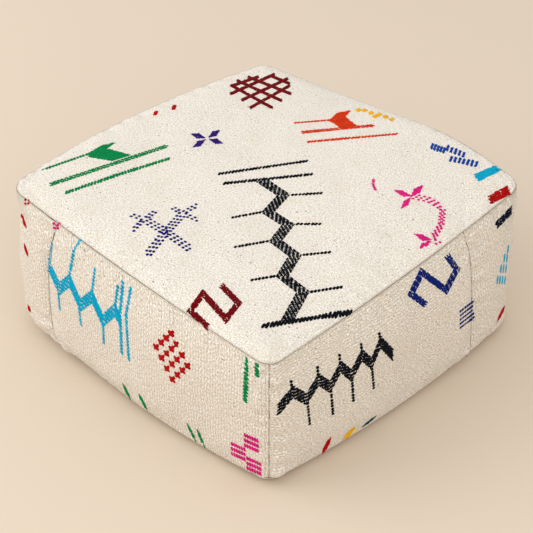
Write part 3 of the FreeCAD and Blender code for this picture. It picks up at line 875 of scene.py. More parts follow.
class Panel:
    """One sewn panel: a grid of points, its seam rings and the mesh made from them."""

    def __init__(self, name, node, grid, uv, lean, roll, flap):
        self.name = name
        self.node = node
        numbers = grid_numbers(grid)
        loop = grid_loop(numbers)
        points = grid.reshape(-1, 3)
        flat_uv = uv.reshape(-1, 2)
        edge = points[loop]
        normal = grid_normals(grid).reshape(-1, 3)[loop]
        self.along = unit(np.roll(edge, -1, axis=0) - np.roll(edge, 1, axis=0))
        outward = unit(np.cross(self.along, normal))
        normal = unit(np.cross(outward, self.along))
        lean = np.broadcast_to(lean, len(loop))[:, None]
        roll = np.broadcast_to(roll, len(loop))[:, None]
        self.into = -unit(normal + outward * lean)
        rings, self.seam = rolled_edge(edge, outward, normal, self.into, roll, flap)
        faces = [grid_quads(numbers)]
        uv_rings = [flat_uv]
        aside = unit(flat_uv[loop] - flat_uv.mean(0))
        last = loop
        count = len(points)
        for step in range(1, len(rings) + 1):
            current = count + np.arange(len(loop))
            faces.append(grid_quads(closed(np.stack([last, current]))))
            uv_rings.append(flat_uv[loop] + ROLL_UV * step * aside)
            last = current
            count += len(loop)
        self.points = np.concatenate([points, *rings])
        self.faces = np.concatenate(faces)
        self.uv = np.concatenate(uv_rings)
        self.loop = last

    def build(self, material):
        self.object = cloth_piece(self.name, self.points, self.faces, self.loop, COVER, material, self.uv)


def dress(points, normals, swell, distance):
    """Cloth on the stuffed form: what the simulation adds, soft lumps of the filling and creases."""
    rough = LUMP * cover_lumps(points) + RIPPLE * cover_ripple(points) - creases(points)
    rough = rough * smooth_step(distance / CALM)
    held = smooth_step(distance / SWELL_CALM)
    return points + swell * held[..., None] + normals * rough[..., None]


def make_top():
    """Crowned top panel."""
    grid = patch(ring(TOP_CELLS, seam_outline, SEAM_DROP, 0.0))
    grid[..., 2] = top_height(grid[..., 0], grid[..., 1])
    normals = grid_normals(grid)
    share = np.linspace(0, CAGE_CELLS, TOP_CELLS + 1)
    swell = cubic_sample(top_swell, *np.meshgrid(share, share, indexing="ij"))
    dressed = dress(grid, normals, swell, edge_distance(grid[..., 0], grid[..., 1]))
    steps = np.minimum(np.arange(TOP_CELLS + 1), np.arange(TOP_CELLS, -1, -1))
    a, b = np.meshgrid(steps, steps, indexing="ij")
    cell = 2 * HALF_SEAM / TOP_CELLS
    gathers = pucker(a * cell, grid[..., 1] + np.sign(grid[..., 0]), 31)
    gathers = gathers + pucker(b * cell, grid[..., 0] + np.sign(grid[..., 1]), 33)
    dressed = dressed + normals * (TOP_PUCKERS * gathers)[..., None]
    over = np.maximum(dressed[..., 2] - CEILING, 0)
    dressed[..., 2] += CEILING_SOFT * np.tanh(over / CEILING_SOFT) - over
    return Panel("cover_top", "top_panel", dressed, grid[..., :2], 1.0, TOP_ROLL, TOP_FLAP)


def seam_path(share, path):
    """How far an upright seam wanders along its side, by height."""
    rise, curve, roll = path
    return rise * share + curve * share ** 2 + roll * share ** ROLL_POWER


def make_side(key, first, last, first_path, last_path, seed):
    """Side panel between two upright seams."""
    columns = int(round((last - first) / CELL))
    trim = UPRIGHT_ROLL + SEAM_GAP
    lowest = (FOOT_ROLL + SEAM_GAP) / SIDE_HEIGHT
    highest = 1 - SEAM_DROP / SIDE_HEIGHT
    share = np.linspace(lowest, highest, SIDE_ROWS + 1)[None, :]
    start = first + seam_path(share, first_path) + trim
    end = last + seam_path(share, last_path) - trim
    length = start + (end - start) * np.linspace(0, 1, columns + 1)[:, None]
    share = np.broadcast_to(share, length.shape)
    grid = side_points(length, share)
    normals = grid_normals(grid)
    from_ends = np.minimum(length - start, end - length)
    from_top = (highest - share) * SIDE_HEIGHT
    from_foot = (share - lowest) * SIDE_HEIGHT
    from_seams = np.minimum(np.minimum(from_foot, from_top), from_ends)
    dressed = dress(grid, normals, swell_at(length, share), from_seams)
    valley = SEAM_VALLEY * np.exp(-from_ends / VALLEY_WIDTH) * smooth_step(from_top / VALLEY_END)
    dressed = dressed - normals * valley[..., None]
    gathers = pucker(from_top, length, seed)
    gathers = gathers + FOOT_PUCKERS * pucker(from_foot, length, seed + 2)
    gathers = gathers + pucker(length - start, share * SIDE_HEIGHT, seed + 4)
    gathers = gathers + pucker(end - length, share * SIDE_HEIGHT, seed + 6)
    dressed = dressed + normals * (SIDE_PUCKERS * gathers)[..., None]
    around = np.arange(2 * (columns + SIDE_ROWS))
    on_top = (around > columns + SIDE_ROWS - 1) & (around < 2 * columns + SIDE_ROWS + 1)
    roll = np.where(on_top, TOP_ROLL, UPRIGHT_ROLL)
    roll[:columns + 1] = FOOT_ROLL
    uv = np.stack([length, share * SIDE_CLOTH], axis=-1)
    return Panel(
        f"cover_{key}", f"{key}_side_panel", dressed, uv, np.where(on_top, 1.0, 0.0), roll, 0.0)


# Side panels: where each begins and ends round the pouf, the paths of these seams and its seed.
SIDES = (
    ("right", FRONT_CORNER, RIGHT_SEAM, STRAIGHT_SEAM, RIGHT_SEAM_PATH, 41),
    ("back", RIGHT_SEAM, BACK_CORNER, RIGHT_SEAM_PATH, STRAIGHT_SEAM, 51),
    ("left", BACK_CORNER, LEFT_SEAM, STRAIGHT_SEAM, LEFT_SEAM_PATH, 61),
    ("front", LEFT_SEAM, FRONT_CORNER + ROUND, LEFT_SEAM_PATH, STRAIGHT_SEAM, 71),
)
CLOTHS = {"top": kilim_top, "right": kilim_level}
panels = {"top": make_top()}
for side in SIDES:
    panels[side[0]] = make_side(*side)
for key, panel in panels.items():
    panel.build(CLOTHS.get(key, kilim_side))

# Camera, fitted to the photograph's outline and seams.

FRAME_PIXELS = 533
FOCAL_PIXELS = 1945.0
CAMERA_AZIMUTH = math.radians(44.5)
CAMERA_ELEVATION = math.radians(34.7)
CAMERA_DISTANCE = 3.0
AIM = Vector((0.0, 0.0, 0.0957))
back = Vector((
    math.sin(CAMERA_AZIMUTH) * math.cos(CAMERA_ELEVATION),
    -math.cos(CAMERA_AZIMUTH) * math.cos(CAMERA_ELEVATION),
    math.sin(CAMERA_ELEVATION),
))
camera_data = bpy.data.cameras.new("camera")
camera = bpy.data.objects.new("camera", camera_data)
scene.collection.objects.link(camera)
camera_data.sensor_width = 36.0
camera_data.lens = camera_data.sensor_width * FOCAL_PIXELS / FRAME_PIXELS
camera.location = AIM + back * CAMERA_DISTANCE
camera.rotation_mode = "QUATERNION"
camera.rotation_quaternion = (-back).to_track_quat("-Z", "Y")
scene.camera = camera


class PhotoView:
    """Places on the pouf seen at pixels of the photograph."""

    step = 1.0

    def __init__(self):
        self.origin = camera.location.copy()
        turn = camera.rotation_quaternion
        self.right = turn @ Vector((1, 0, 0))
        self.up = turn @ Vector((0, 1, 0))
        self.ahead = turn @ Vector((0, 0, -1))

    def ray(self, x, y):
        middle = FRAME_PIXELS / 2
        across = (x - middle) / FOCAL_PIXELS
        down = (y - middle) / FOCAL_PIXELS
        return self.origin, (self.ahead + self.right * across - self.up * down).normalized()


class FaceView:
    """Places on a face of the pouf seen square on, in millimetres from the middle of its foot."""

    step = 1.6

    def __init__(self, facing):
        self.out = Vector((math.cos(facing), math.sin(facing), 0))
        self.right = Vector((-math.sin(facing), math.cos(facing), 0))

    def ray(self, x, y):
        start = self.out + self.right * (x / 1000) + Vector((0, 0, y / 1000))
        return start, -self.out


photo = PhotoView()
cover_points = []
cover_faces = []
for panel in panels.values():
    cover_faces.extend((panel.faces + len(cover_points)).tolist())
    cover_points.extend(panel.points.tolist())
cover_tree = BVHTree.FromPolygons(cover_points, cover_faces)

# A yarn float: a flattened strand whose ends dive into the cloth. Stations: place, girth and lift.
STATIONS = ((-0.40, 0.72, -0.16), (-0.16, 1.0, 0.04), (0.16, 1.0, 0.04), (0.40, 0.72, -0.16))
SPOKES = 6
END_DEPTH = -0.45
float_points = [(-0.5, 0.0, END_DEPTH)]
for station, girth, lift in STATIONS:
    for spoke in range(SPOKES):
        turn = FULL_TURN * spoke / SPOKES
        float_points.append((station, 0.5 * girth * math.cos(turn), 0.5 * girth * math.sin(turn) + lift))
float_points.append((0.5, 0.0, END_DEPTH))
FLOAT_POINTS = np.array(float_points)
float_faces = []
for spoke in range(SPOKES):
    following = (spoke + 1) % SPOKES
    float_faces.append([0, 1 + following, 1 + spoke])
    for station in range(len(STATIONS) - 1):
        low = 1 + station * SPOKES
        high = low + SPOKES
        float_faces.append([low + spoke, low + following, high + following, high + spoke])
    end = 1 + (len(STATIONS) - 1) * SPOKES
    float_faces.append([end + spoke, end + following, len(FLOAT_POINTS) - 1])

# Kinds of floats that are laid in rows: length, spacing and width.
DASHES = (0.0084, 0.0080, 0.0026)
RIBBON = (0.0100, 0.0086, 0.0028)
DOTS = (0.0052, 0.0082, 0.0044)
CORD = (0.0064, 0.0064, 0.0038)
BLOCK = (0.0052, 0.0052, 0.0042)
ROPE = (0.0086, 0.0053, 0.0044)
ROPE_RISE = 0.0017
ROPE_SLANT = 54
ROW_RISE = 0.0014
STITCH_WIDTH = 0.0030
STITCH_RISE = 0.0015
FILL_PITCH = 0.0017
FILL_LENGTH = 0.0090
FILL_OVERLAP = 1.25
FILL_LEAST = 0.0012
FILL_WIDTH = 0.0027
FILL_RISE = 0.0013
FLOAT_LIFT = 0.0002
TANGENT_REACH = 0.002
SAME_PLACE = 1e-7
# How unevenly floats are laid: along the line as a share of the spacing, turn, and the three sizes.
PLACE_SPREAD = 0.05
TURN_SPREAD = 0.07
SIZE_SPREADS = (0.07, 0.06, 0.06)

motif_pieces = []
float_dice = np.random.default_rng(5)


def float_tones(count):
    """Random shades of some floats."""
    return np.clip(float_dice.normal(0.6, 0.17, count), 0, 1)


class Motif:
    """Raised yarn floats of one motif, laid on the cover and gathered into one piece."""

    def __init__(self, name, yarn, face, view=photo):
        self.name = name
        self.yarn = yarn
        self.face = face
        self.view = view
        self.rows = []

    def trace(self, points):
        """Points on the cover, with normals, under a line."""
        places = []
        normals = []
        for (x0, y0), (x1, y1) in zip(points[:-1], points[1:]):
            count = max(int(math.hypot(x1 - x0, y1 - y0) / self.view.step), 1)
            for number in range(count + 1):
                share = number / count
                spot, normal, _, _ = cover_tree.ray_cast(
                    *self.view.ray(x0 + (x1 - x0) * share, y0 + (y1 - y0) * share))
                if spot is not None:
                    places.append(spot)
                    normals.append(normal)
        return np.array(places), np.array(normals)

    def lay(self, points, kind, rise=ROW_RISE, slant=0, start=0.5):
        """Row of floats along a line, each turned from the line by a slant."""
        length, spacing, width = kind
        places, normals = self.trace(points)
        if len(places) < 2:
            return
        arc = lengths_along(places)
        at = np.arange(start * spacing, arc[-1], spacing)
        if not len(at):
            at = np.array([arc[-1] / 2])
        count = len(at)
        at = at + float_dice.normal(0, PLACE_SPREAD * spacing, count)
        keep = np.concatenate([[True], np.diff(arc) > SAME_PLACE])
        arc, places, normals = arc[keep], places[keep], normals[keep]
        normal = unit(sampled(normals, arc, at))
        ahead = sampled(places, arc, at + TANGENT_REACH) - sampled(places, arc, at - TANGENT_REACH)
        ahead = unit(ahead - normal * (ahead * normal).sum(1, keepdims=True))
        aside = np.cross(normal, ahead)
        turn = math.radians(slant) + float_dice.normal(0, TURN_SPREAD, count)[:, None]
        heading = ahead * np.cos(turn) + aside * np.sin(turn)
        sizes = np.stack([
            size * (1 + float_dice.normal(0, spread, count))
            for size, spread in zip((length, width, rise), SIZE_SPREADS)], axis=1)
        self.rows.append((sampled(places, arc, at), heading, normal, sizes, float_tones(count)))

    def even_row(self, middle, heading, normal, size):
        """Row of floats of one size and shade, at given places."""
        count = len(middle)
        self.rows.append((middle, heading, normal, np.tile(size, (count, 1)), np.full(count, 0.5)))

    def stitch(self, start, end, width=STITCH_WIDTH):
        """One float from place to place."""
        places, normals = self.trace([start, end])
        if len(places) < 2:
            return
        normal = unit(normals.mean(0))
        along = places[-1] - places[0]
        heading = unit(along - normal * (along @ normal))
        sizes = np.array([np.linalg.norm(along), width, STITCH_RISE])
        middle = places[len(places) // 2]
        self.rows.append((middle[None], heading[None], normal[None], sizes[None], float_tones(1)))

    def rope(self, points, thick=1.0):
        """Line of slanted stitches that reads as a toothed cord."""
        length, spacing, width = ROPE
        self.lay(points, (length * thick, spacing, width), ROPE_RISE, ROPE_SLANT)

    def ropes(self, thick, *lines):
        """Several such lines."""
        for line in lines:
            self.rope(line, thick)

    def beside(self, points, across, rows, kind):
        """Rows of floats side by side along a line, brick fashion."""
        for row in range(rows):
            share = row / (rows - 1) - 0.5
            self.lay(points + across * share, kind, start=0.5 + 0.5 * (row % 2))

    def band(self, points, across, rows):
        """Rows of dashes along a line, each moved on by the same step."""
        self.beside(np.array(points, float), np.array(across, float), rows, DASHES)

    def stripe(self, points, width, rows, kind=RIBBON):
        """Ribbon of even width along a line: rows of floats that turn its corners together."""
        points = np.array(points, float)
        ahead = unit(np.diff(points, axis=0))
        aside = np.stack([-ahead[:, 1], ahead[:, 0]], axis=1)
        before = np.concatenate([aside[:1], aside])
        after = np.concatenate([aside, aside[-1:]])
        mitre = (before + after) / (1 + (before * after).sum(1, keepdims=True))
        self.beside(points, mitre * width, rows, kind)

    def dots(self, points, width, rows):
        """Checked rows of short stitches along a line."""
        self.stripe(points, width, rows, DOTS)

    def fill(self, corners, heading, ragged=0.0):
        """Solid patch of rows of floats, laid along a heading, with even or ragged ends."""
        corners = np.array(corners, float)
        heading = np.array(heading, float) / math.hypot(*heading)
        sideways = np.array([-heading[1], heading[0]])
        middle = corners.mean(0)
        near = self.trace([middle - sideways, middle + sideways])[0]
        if len(near) < 2:
            return
        per_unit = np.linalg.norm(near[-1] - near[0]) / 2
        reach = corners @ sideways
        ahead = corners @ heading
        count = max(int((reach.max() - reach.min()) * per_unit / FILL_PITCH), 1)
        for number in range(count):
            level = reach.min() + (number + 0.5) / count * (reach.max() - reach.min())
            cuts = []
            for i in range(len(corners)):
                j = (i + 1) % len(corners)
                if (reach[i] > level) != (reach[j] > level):
                    share = (level - reach[i]) / (reach[j] - reach[i])
                    cuts.append(ahead[i] + share * (ahead[j] - ahead[i]))
            cuts.sort()
            for cut in zip(cuts[::2], cuts[1::2]):
                uneven = ragged * float_dice.uniform(-1, 1, 2)
                ends = [heading * (at + more) + sideways * level for at, more in zip(cut, uneven)]
                places = self.trace(ends)[0]
                if len(places) < 2:
                    continue
                whole = np.linalg.norm(places[-1] - places[0])
                spacing = whole / max(int(round(whole / FILL_LENGTH)), 1)
                kind = (spacing * FILL_OVERLAP, max(spacing, FILL_LEAST), FILL_WIDTH)
                self.lay(ends, kind, FILL_RISE)

    def build(self):
        """Mesh of all the floats."""
        middle, heading, normal, sizes, tone = (np.concatenate(part) for part in zip(*self.rows))
        aside = np.cross(normal, heading)
        local = FLOAT_POINTS[None] * sizes[:, None, :]
        points = (
            middle[:, None] + local[..., :1] * heading[:, None]
            + local[..., 1:2] * aside[:, None] + (local[..., 2:] + FLOAT_LIFT) * normal[:, None])
        offsets = np.arange(len(middle)) * len(FLOAT_POINTS)
        faces = [[corner + offset for corner in face] for offset in offsets for face in float_faces]
        uv = np.stack([local[..., 0], local[..., 1] + local[..., 2]], axis=-1)
        item = new_object(
            self.name, points.reshape(-1, 3), faces, YARNS[self.yarn],
            uv.reshape(-1, 2), np.repeat(tone, len(FLOAT_POINTS)))
        motif_pieces.append((item, self.face))


PETAL_ROOT = 0.10
PETAL_WAIST = 0.58
BAR_POINT = 0.3


def to_side(ahead, half):
    """Step to the left of a heading."""
    return half * np.array([-ahead[1], ahead[0]]) / np.linalg.norm(ahead)


def cross_petals(motif, middle, tips, half):
    """Small petals that point out from a middle."""
    for tip in tips:
        ahead = np.subtract(tip, middle).astype(float)
        waist = middle + PETAL_WAIST * ahead
        side = to_side(ahead, half)
        motif.fill([middle + PETAL_ROOT * ahead, waist + side, tip, waist - side], ahead)


def slanted_bar(motif, start, end, half):
    """Filled bar with pointed ends."""
    ahead = np.subtract(end, start).astype(float)
    side = to_side(ahead, half)
    low = start + BAR_POINT * ahead
    high = end - BAR_POINT * ahead
    motif.fill([start, low + side, high + side, end, high - side, low - side], ahead)


def square_bar(motif, start, end, half, ragged=0.5):
    """Filled bar with square, slightly ragged ends."""
    ahead = np.subtract(end, start).astype(float)
    side = to_side(ahead, half)
    motif.fill([start + side, end + side, end - side, start - side], ahead, ragged)


def draw_top():
    """Motifs of the top panel, at their pixels in the photograph."""
    zigzag = Motif("motif_zigzag_top", "charcoal", "top")
    zigzag.ropes(1.2, [(218, 174), (307, 161)], [(223, 183.5), (314, 174)])
    zigzag.rope([(262, 326), (352, 312)], 1.6)
    zigzag.band(
        [(261, 180), (283.5, 195), (268, 212), (288, 225), (275.5, 241), (295, 255.5), (282.5, 276),
         (303, 292), (287, 321)], (12, -1), 7)
    zigzag.ropes(
        0.85, [(291, 195), (323, 193)], [(296, 224), (322, 224)], [(302, 255), (332, 252)],
        [(310, 292), (342, 287)], [(262, 212), (230, 218)], [(269, 241), (235, 247)],
        [(276, 276), (252, 280)])
    zigzag.build()

    lattice = Motif("motif_lattice_top", "darkred", "top")
    for start, end in (
            ((230.5, 85), (272.5, 108)), ((237, 80.5), (282, 101)), ((248, 77), (291, 94)),
            ((270, 75.5), (290, 84)), ((250, 108), (290, 85.5)), ((241.5, 100.5), (288, 78.5)),
            ((230.5, 94), (275, 74)), ((232, 86), (259, 76.5))):
        square_bar(lattice, start, end, 1.4)
    lattice.build()

    comb = Motif("motif_comb_green_top", "green", "top")
    comb.rope([(42, 170), (88, 154)], 0.9)
    comb.fill(
        [(87, 154), (102, 145.5), (116.5, 142), (107, 148.5), (131, 155), (112, 161), (89, 157)], (5, -1.6))
    comb.stripe([(49, 185), (167, 146)], 2.4, 3, CORD)
    comb.rope([(65, 193), (120, 174), (171, 158)], 1.3)
    comb.build()

    petals = Motif("motif_petals_top", "purple", "top")
    cross_petals(petals, (207, 138.5), [(191, 134), (220, 130), (223, 143.5), (193, 147.5)], 2.8)
    petals.build()

    forked = Motif("motif_forked_cross_top", "indigo", "top")
    forked.dots([(143, 218.5), (166, 232), (191, 249.5)], 6.0, 3)
    forked.dots([(183, 213.5), (166, 232), (147, 255)], 6.0, 3)
    for line in ([(144, 219), (129.5, 214.5)], [(144, 219.5), (132.5, 230.5)], [(145, 219), (156.5, 210.5)],
                 [(182, 213.5), (198.5, 204.5)], [(182, 213.5), (171.5, 207)], [(183, 214), (198, 220)]):
        forked.dots(line, 2.6, 2)
    forked.build()

    hook = Motif("motif_hook_red_top", "darkred", "top")
    hook.stripe([(221, 285), (238.5, 303), (226, 319), (203, 293.5), (190.5, 311), (208, 327)], 4.6, 5)
    hook.build()

    comb = Motif("motif_comb_orange_top", "orange", "top")
    comb.rope([(294, 123), (331, 120)], 0.9)
    comb.fill([(329, 120.5), (337, 113), (350.5, 110.5), (345.5, 117), (357, 126), (343, 129.5)], (5, -0.6))
    comb.stripe([(301, 132.5), (374, 125.5)], 1.8, 3, CORD)
    comb.rope([(307, 142), (345, 138.5), (397, 134)], 1.1)
    comb.build()

    steps = Motif("motif_steps_yellow_top", "yellow", "top")
    for x, y in (
            (358.5, 110), (364.5, 110.5), (371, 113), (375, 116.5), (379, 114.5), (385.5, 117),
            (392, 119.5)):
        steps.fill([(x - 3.4, y), (x, y - 1.9), (x + 3.4, y), (x, y + 1.9)], (5, 1))
    steps.build()

    dashes = Motif("motif_dashes_blue_top", "blue", "top")
    for x, y, count, apart, drop in (
            (431, 143.5, 5, 3.0, 1.0), (446.5, 145.5, 5, 4.0, 1.6), (450, 156, 7, 4.2, 0.9)):
        for number in range(count):
            left = x + apart * number
            high = y + drop * number
            square_bar(dashes, (left, high + 5.5), (left + 2.2, high), 1.1, 0.3)
    dashes.build()

    bar = Motif("motif_bar_cyan_top", "cyan", "top")
    bar.fill([(474, 174.5), (500.5, 163.5), (503, 169.5), (478, 181.5)], (26, -11), ragged=1.2)
    bar.build()
    bar = Motif("motif_bar_red_top", "red", "top")
    bar.fill([(488.5, 196), (508, 185.5), (511.5, 193.5), (491, 204)], (20, -10), ragged=1.2)
    bar.build()
    marks = Motif("motif_marks_red_top", "red", "top")
    for x, y, tall in ((154.5, 116, 5), (173, 110.5, 6)):
        for shift in (-1.2, 0, 1.2):
            marks.stitch((x + shift, y), (x + shift + 2, y - tall))
    marks.build()

    lizard = Motif("motif_lizard_pink_top", "pink", "top")
    lizard.fill([(393, 190), (402, 190.5), (412, 196), (404, 197)], (19, 6))
    lizard.fill([(411, 197), (414, 189), (423, 185), (420, 192.5)], (11, -9))
    lizard.fill([(411, 197), (408, 205), (401, 209), (404, 201)], (-9, 12))
    lizard.dots([(411, 196), (428, 199.5), (441, 207)], 4.4, 3)
    lizard.dots([(443, 208), (441, 225), (433, 238)], 4.2, 3)
    lizard.fill([(414, 234), (422, 234.5), (432, 240), (423, 241)], (18, 6))
    lizard.fill([(432, 240), (427, 246), (418.5, 249), (422, 243.5)], (-12, 8))
    lizard.dots([(432, 240), (442, 245)], 3.0, 2)
    lizard.rope([(373.5, 179), (373, 185), (376, 191)], 0.7)
    lizard.build()


def draw_front():
    """Motifs of the side that the photograph shows on its left."""
    zigzag = Motif("motif_zigzag_cyan_front", "cyan", "front")
    zigzag.band(
        [(48.5, 264), (59.4, 288.5), (69.6, 280.5), (80.6, 305), (92, 296.5), (103, 320.5), (115, 310),
         (121, 322)], (0, 12), 9)
    zigzag.ropes(
        0.8, [(52, 243), (51, 261)], [(81, 239), (74, 250), (69.5, 275)], [(95, 268), (92, 292)],
        [(118, 285), (115, 307)], [(58.5, 293), (60, 310)], [(79, 308), (81.5, 327)],
        [(103, 324), (104, 343)])
    zigzag.ropes(1.05, [(123, 281), (120, 315), (122, 356)], [(131, 287), (126, 315), (129, 361)])
    zigzag.build()

    grid = Motif("motif_grid_red_front", "red", "front")
    for row in range(4):
        for column in range(4):
            x = 171 - 5.0 * column + 5.4 * row
            y = 333.5 + 4.5 * column + 10.8 * row
            grid.stitch((x - 3.4, y - 3.6), (x + 3.4, y + 3.8), 0.0061)
            grid.stitch((x - 2.6, y + 2.5), (x + 2.6, y - 2.3), 0.0057)
    grid.build()

    lines = Motif("motif_lines_green_front", "green", "front")
    lines.rope([(247, 358), (245, 402)], 1.35)
    lines.rope([(257, 363), (257, 378)], 1.2)
    for start, end in (
            ((122.5, 383), (130.5, 399)), ((138, 392.5), (148, 411.5)), ((187, 423), (196, 441.5)),
            ((197, 429), (205, 447.5))):
        slanted_bar(lines, start, end, 1.05)
    lines.build()

    blocks = Motif("motif_blocks_pink_front", "pink", "front")
    for x, y in ((243.5, 433), (230.5, 441.5), (246, 456)):
        for row in range(3):
            for column in range(6):
                left = x + 1.2 + 2.5 * column
                low = y + 1.1 * column + 4.9 * row
                blocks.stitch((left, low), (left + 0.6, low + 4.8), 0.0043)
    blocks.build()

    flower = Motif("motif_flower_front", "pink", "front")
    cross_petals(flower, (56, 226), [(52.5, 221.5), (59.5, 223), (59.5, 230), (53, 229.5)], 1.3)
    flower.build()


def draw_right():
    """Motifs of the side that the photograph shows on its right."""
    zigzag = Motif("motif_zigzag_right", "charcoal", "right")
    zigzag.band(
        [(277, 411), (293, 392), (306.5, 399), (318.7, 379.5), (330, 387), (340.8, 366.8), (351.5, 375.5),
         (362, 355), (371.5, 363.5), (380.5, 342), (393, 355)], (0, 11), 8)
    zigzag.ropes(
        0.75, [(292, 390), (291, 380)], [(318, 376), (317.5, 366)], [(340, 364), (339.5, 354)],
        [(362, 353), (361, 342)], [(380.5, 341), (379, 332)], [(307.5, 402), (310, 426)],
        [(331, 390), (333, 414)], [(352, 379), (353.5, 402)], [(372, 368), (374, 390)])
    zigzag.build()

    hook = Motif("motif_hook_blue_right", "hookblue", "right")
    hook.stripe(
        [(446.5, 254.5), (456.5, 269.5), (446, 290), (421.8, 272.5), (411, 294), (425.5, 304.5)], 5.0, 5)
    hook.build()

    block = Motif("motif_block_blue_right", "hookblue", "right")
    for number in range(5):
        fall = 4.1 * number
        block.lay([(459.5, 312 + fall), (473.6, 301 + fall)], BLOCK)
    block.build()

    for name, yarn, start, end, half in (
            ("motif_slash_red_right", "red", (322, 454), (331.5, 436), 1.7),
            ("motif_slash_yellow_right", "yellow", (343, 440), (356, 426), 1.8),
            ("motif_slash_teal_right", "teal", (361.5, 427.5), (377, 415), 0.9)):
        slash = Motif(name, yarn, "right")
        slanted_bar(slash, start, end, half)
        slash.build()
    marks = Motif("motif_marks_darkred_right", "darkred", "right")
    for start, end in (
            ((433.5, 383.5), (442, 376)), ((444, 373.5), (448, 368.5)), ((452.5, 368), (457, 362.5)),
            ((465.5, 356), (470.5, 352.5))):
        marks.stitch(start, end)
    marks.build()


def draw_wraps():
    """Motifs that show on the two panels that are wrapped round a corner."""
    marks = Motif("motif_marks_red_left", "red", "left")
    cross_petals(marks, (27, 201.5), [(24, 198.5), (30.5, 200), (29.5, 205), (24.5, 205)], 1.1)
    slanted_bar(marks, (21, 212), (26.5, 230), 1.0)
    slanted_bar(marks, (24, 243), (28, 257), 1.0)
    slanted_bar(marks, (28, 305), (30.5, 312), 1.0)
    marks.build()
    bar = Motif("motif_bar_navy_back", "navy", "back")
    bar.fill(
        [(495.5, 222), (505, 212.5), (512, 205.5), (512, 214), (504.5, 221.5), (497, 229)], (17, -17), 0.8)
    bar.build()
    steps = Motif("motif_steps_cyan_back", "cyan", "back")
    for x, y, count in ((507.5, 249, 1), (504, 258, 2), (500.5, 268.5, 3), (497, 280, 4)):
        for number in range(count):
            left = x + 2.5 * number
            steps.stitch((left, y + 5), (left + 0.8, y - 5), 0.0052)
    steps.build()
    slash = Motif("motif_slash_red_back", "red", "back")
    slanted_bar(slash, (497, 322), (505, 305), 1.1)
    slash.build()


def draw_comb(motif, x, y, width, height, teeth_count):
    """Zigzag band with lines that stand up and hang from its points."""
    points = []
    for number in range(2 * teeth_count + 1):
        points.append((x + width * number / (2 * teeth_count), y + (height if number % 2 else 0)))
    motif.band(points, (0, 14), 8)
    for number, (px, py) in enumerate(points[1:-1]):
        up = 1 if number % 2 == 0 else -1
        motif.rope([(px, py + 8 * up), (px, py + 34 * up)], 0.8)


def draw_hook(motif, x, y, size, turn):
    """Hooked S of one ribbon."""
    points = [(-0.2, 0.5), (-0.55, 0.2), (-0.1, -0.1), (0.15, 0.15), (0.55, -0.15), (0.2, -0.5)]
    motif.stripe([(x + turn * px * size, y + py * size) for px, py in points], 9.5, 5)


def draw_lattice(motif, x, y, size):
    """Crossed bars that make a lattice of lozenges."""
    for number in range(4):
        shift = (number / 3 - 0.5) * size
        for lean in (-1, 1):
            foot = (x + shift - lean * size / 2, y - size * 0.42)
            head = (x + shift + lean * size / 2, y + size * 0.42)
            square_bar(motif, foot, head, 2.6)


def draw_unseen(view, face):
    """Motifs of the sides that the photograph doesn't show, in the same style."""
    on_left = face == "left"
    side = -1 if on_left else 1
    comb = Motif(f"motif_comb_{face}", "charcoal" if on_left else "green", face, view)
    draw_comb(comb, -70 * side - 85, 96, 170, 34, 4)
    comb.build()
    hook = Motif(f"motif_hook_{face}", "hookblue" if on_left else "darkred", face, view)
    draw_hook(hook, 112 * side + 8, 128, 86, side)
    hook.build()
    lattice = Motif(f"motif_lattice_{face}", "darkred" if on_left else "indigo", face, view)
    draw_lattice(lattice, -208 * side, 138, 44)
    lattice.build()
    lines = Motif(f"motif_lines_{face}", "orange" if on_left else "cyan", face, view)
    for number, reach in enumerate((58, 74, 66)):
        x = 10 * side
        y = 40 + 16 * number
        lines.rope([(x - reach / 2, y), (x + reach / 2, y - 4)], 1.1)
    lines.build()
    petals = Motif(f"motif_petals_{face}", "purple" if on_left else "pink", face, view)
    for x, y in ((205 * side, 150), (188 * side, 62)):
        tips = [(x - 20, y + 8), (x + 20, y + 8), (x + 18, y - 9), (x - 18, y - 9)]
        cross_petals(petals, (x, y), tips, 4.0)
    petals.build()
    bars = Motif(f"motif_bars_{face}", "yellow" if on_left else "orange", face, view)
    for number in range(3):
        x = -150 * side + 22 * number
        slanted_bar(bars, (x, 26), (x + 9, 52), 3.0)
    bars.build()


draw_top()
draw_front()
draw_right()
draw_wraps()
draw_unseen(FaceView(math.pi), "left")
draw_unseen(FaceView(math.pi / 2), "back")

# Sewing thread in the seams; the upright seams' darker thread is painted shade of their grooves.

THREAD_PITCH = 0.0036
THREAD_LENGTH = 0.0038
THREAD_SLANT = 0.3


def thread_row(name, yarn, panel, chosen, lift, width, face):
    """Small stitches across the mouth of a seam."""
    seam = panel.seam[chosen]
    arc = lengths_along(seam)
    at = np.arange(THREAD_PITCH, arc[-1] - THREAD_PITCH, THREAD_PITCH)
    normal = unit(-sampled(panel.into[chosen], arc, at))
    ahead = unit(sampled(panel.along[chosen], arc, at))
    heading = unit(THREAD_SLANT * unit(np.cross(normal, ahead)) + ahead)
    stitches = Motif(name, yarn, face)
    stitches.even_row(sampled(seam, arc, at) + normal * lift, heading, normal, [THREAD_LENGTH, width, width])
    stitches.build()


top_loop = np.arange(len(panels["top"].seam))
thread_row("thread_top_seam", "thread", panels["top"], top_loop, 0.0, 0.0009, "top")
for key in ("right", "back", "left", "front"):
    panel = panels[key]
    columns = len(panel.seam) // 2 - SIDE_ROWS
    upright = np.arange(columns + 2, columns + SIDE_ROWS - 2)
    # The darker thread here is painted seam shade.
    thread_row(f"thread_{key}_seam", "seam_shade_thread", panel, upright, 0.0004, 0.0013, key)

# Canvas base in two halves, raised into a dent along the zip.

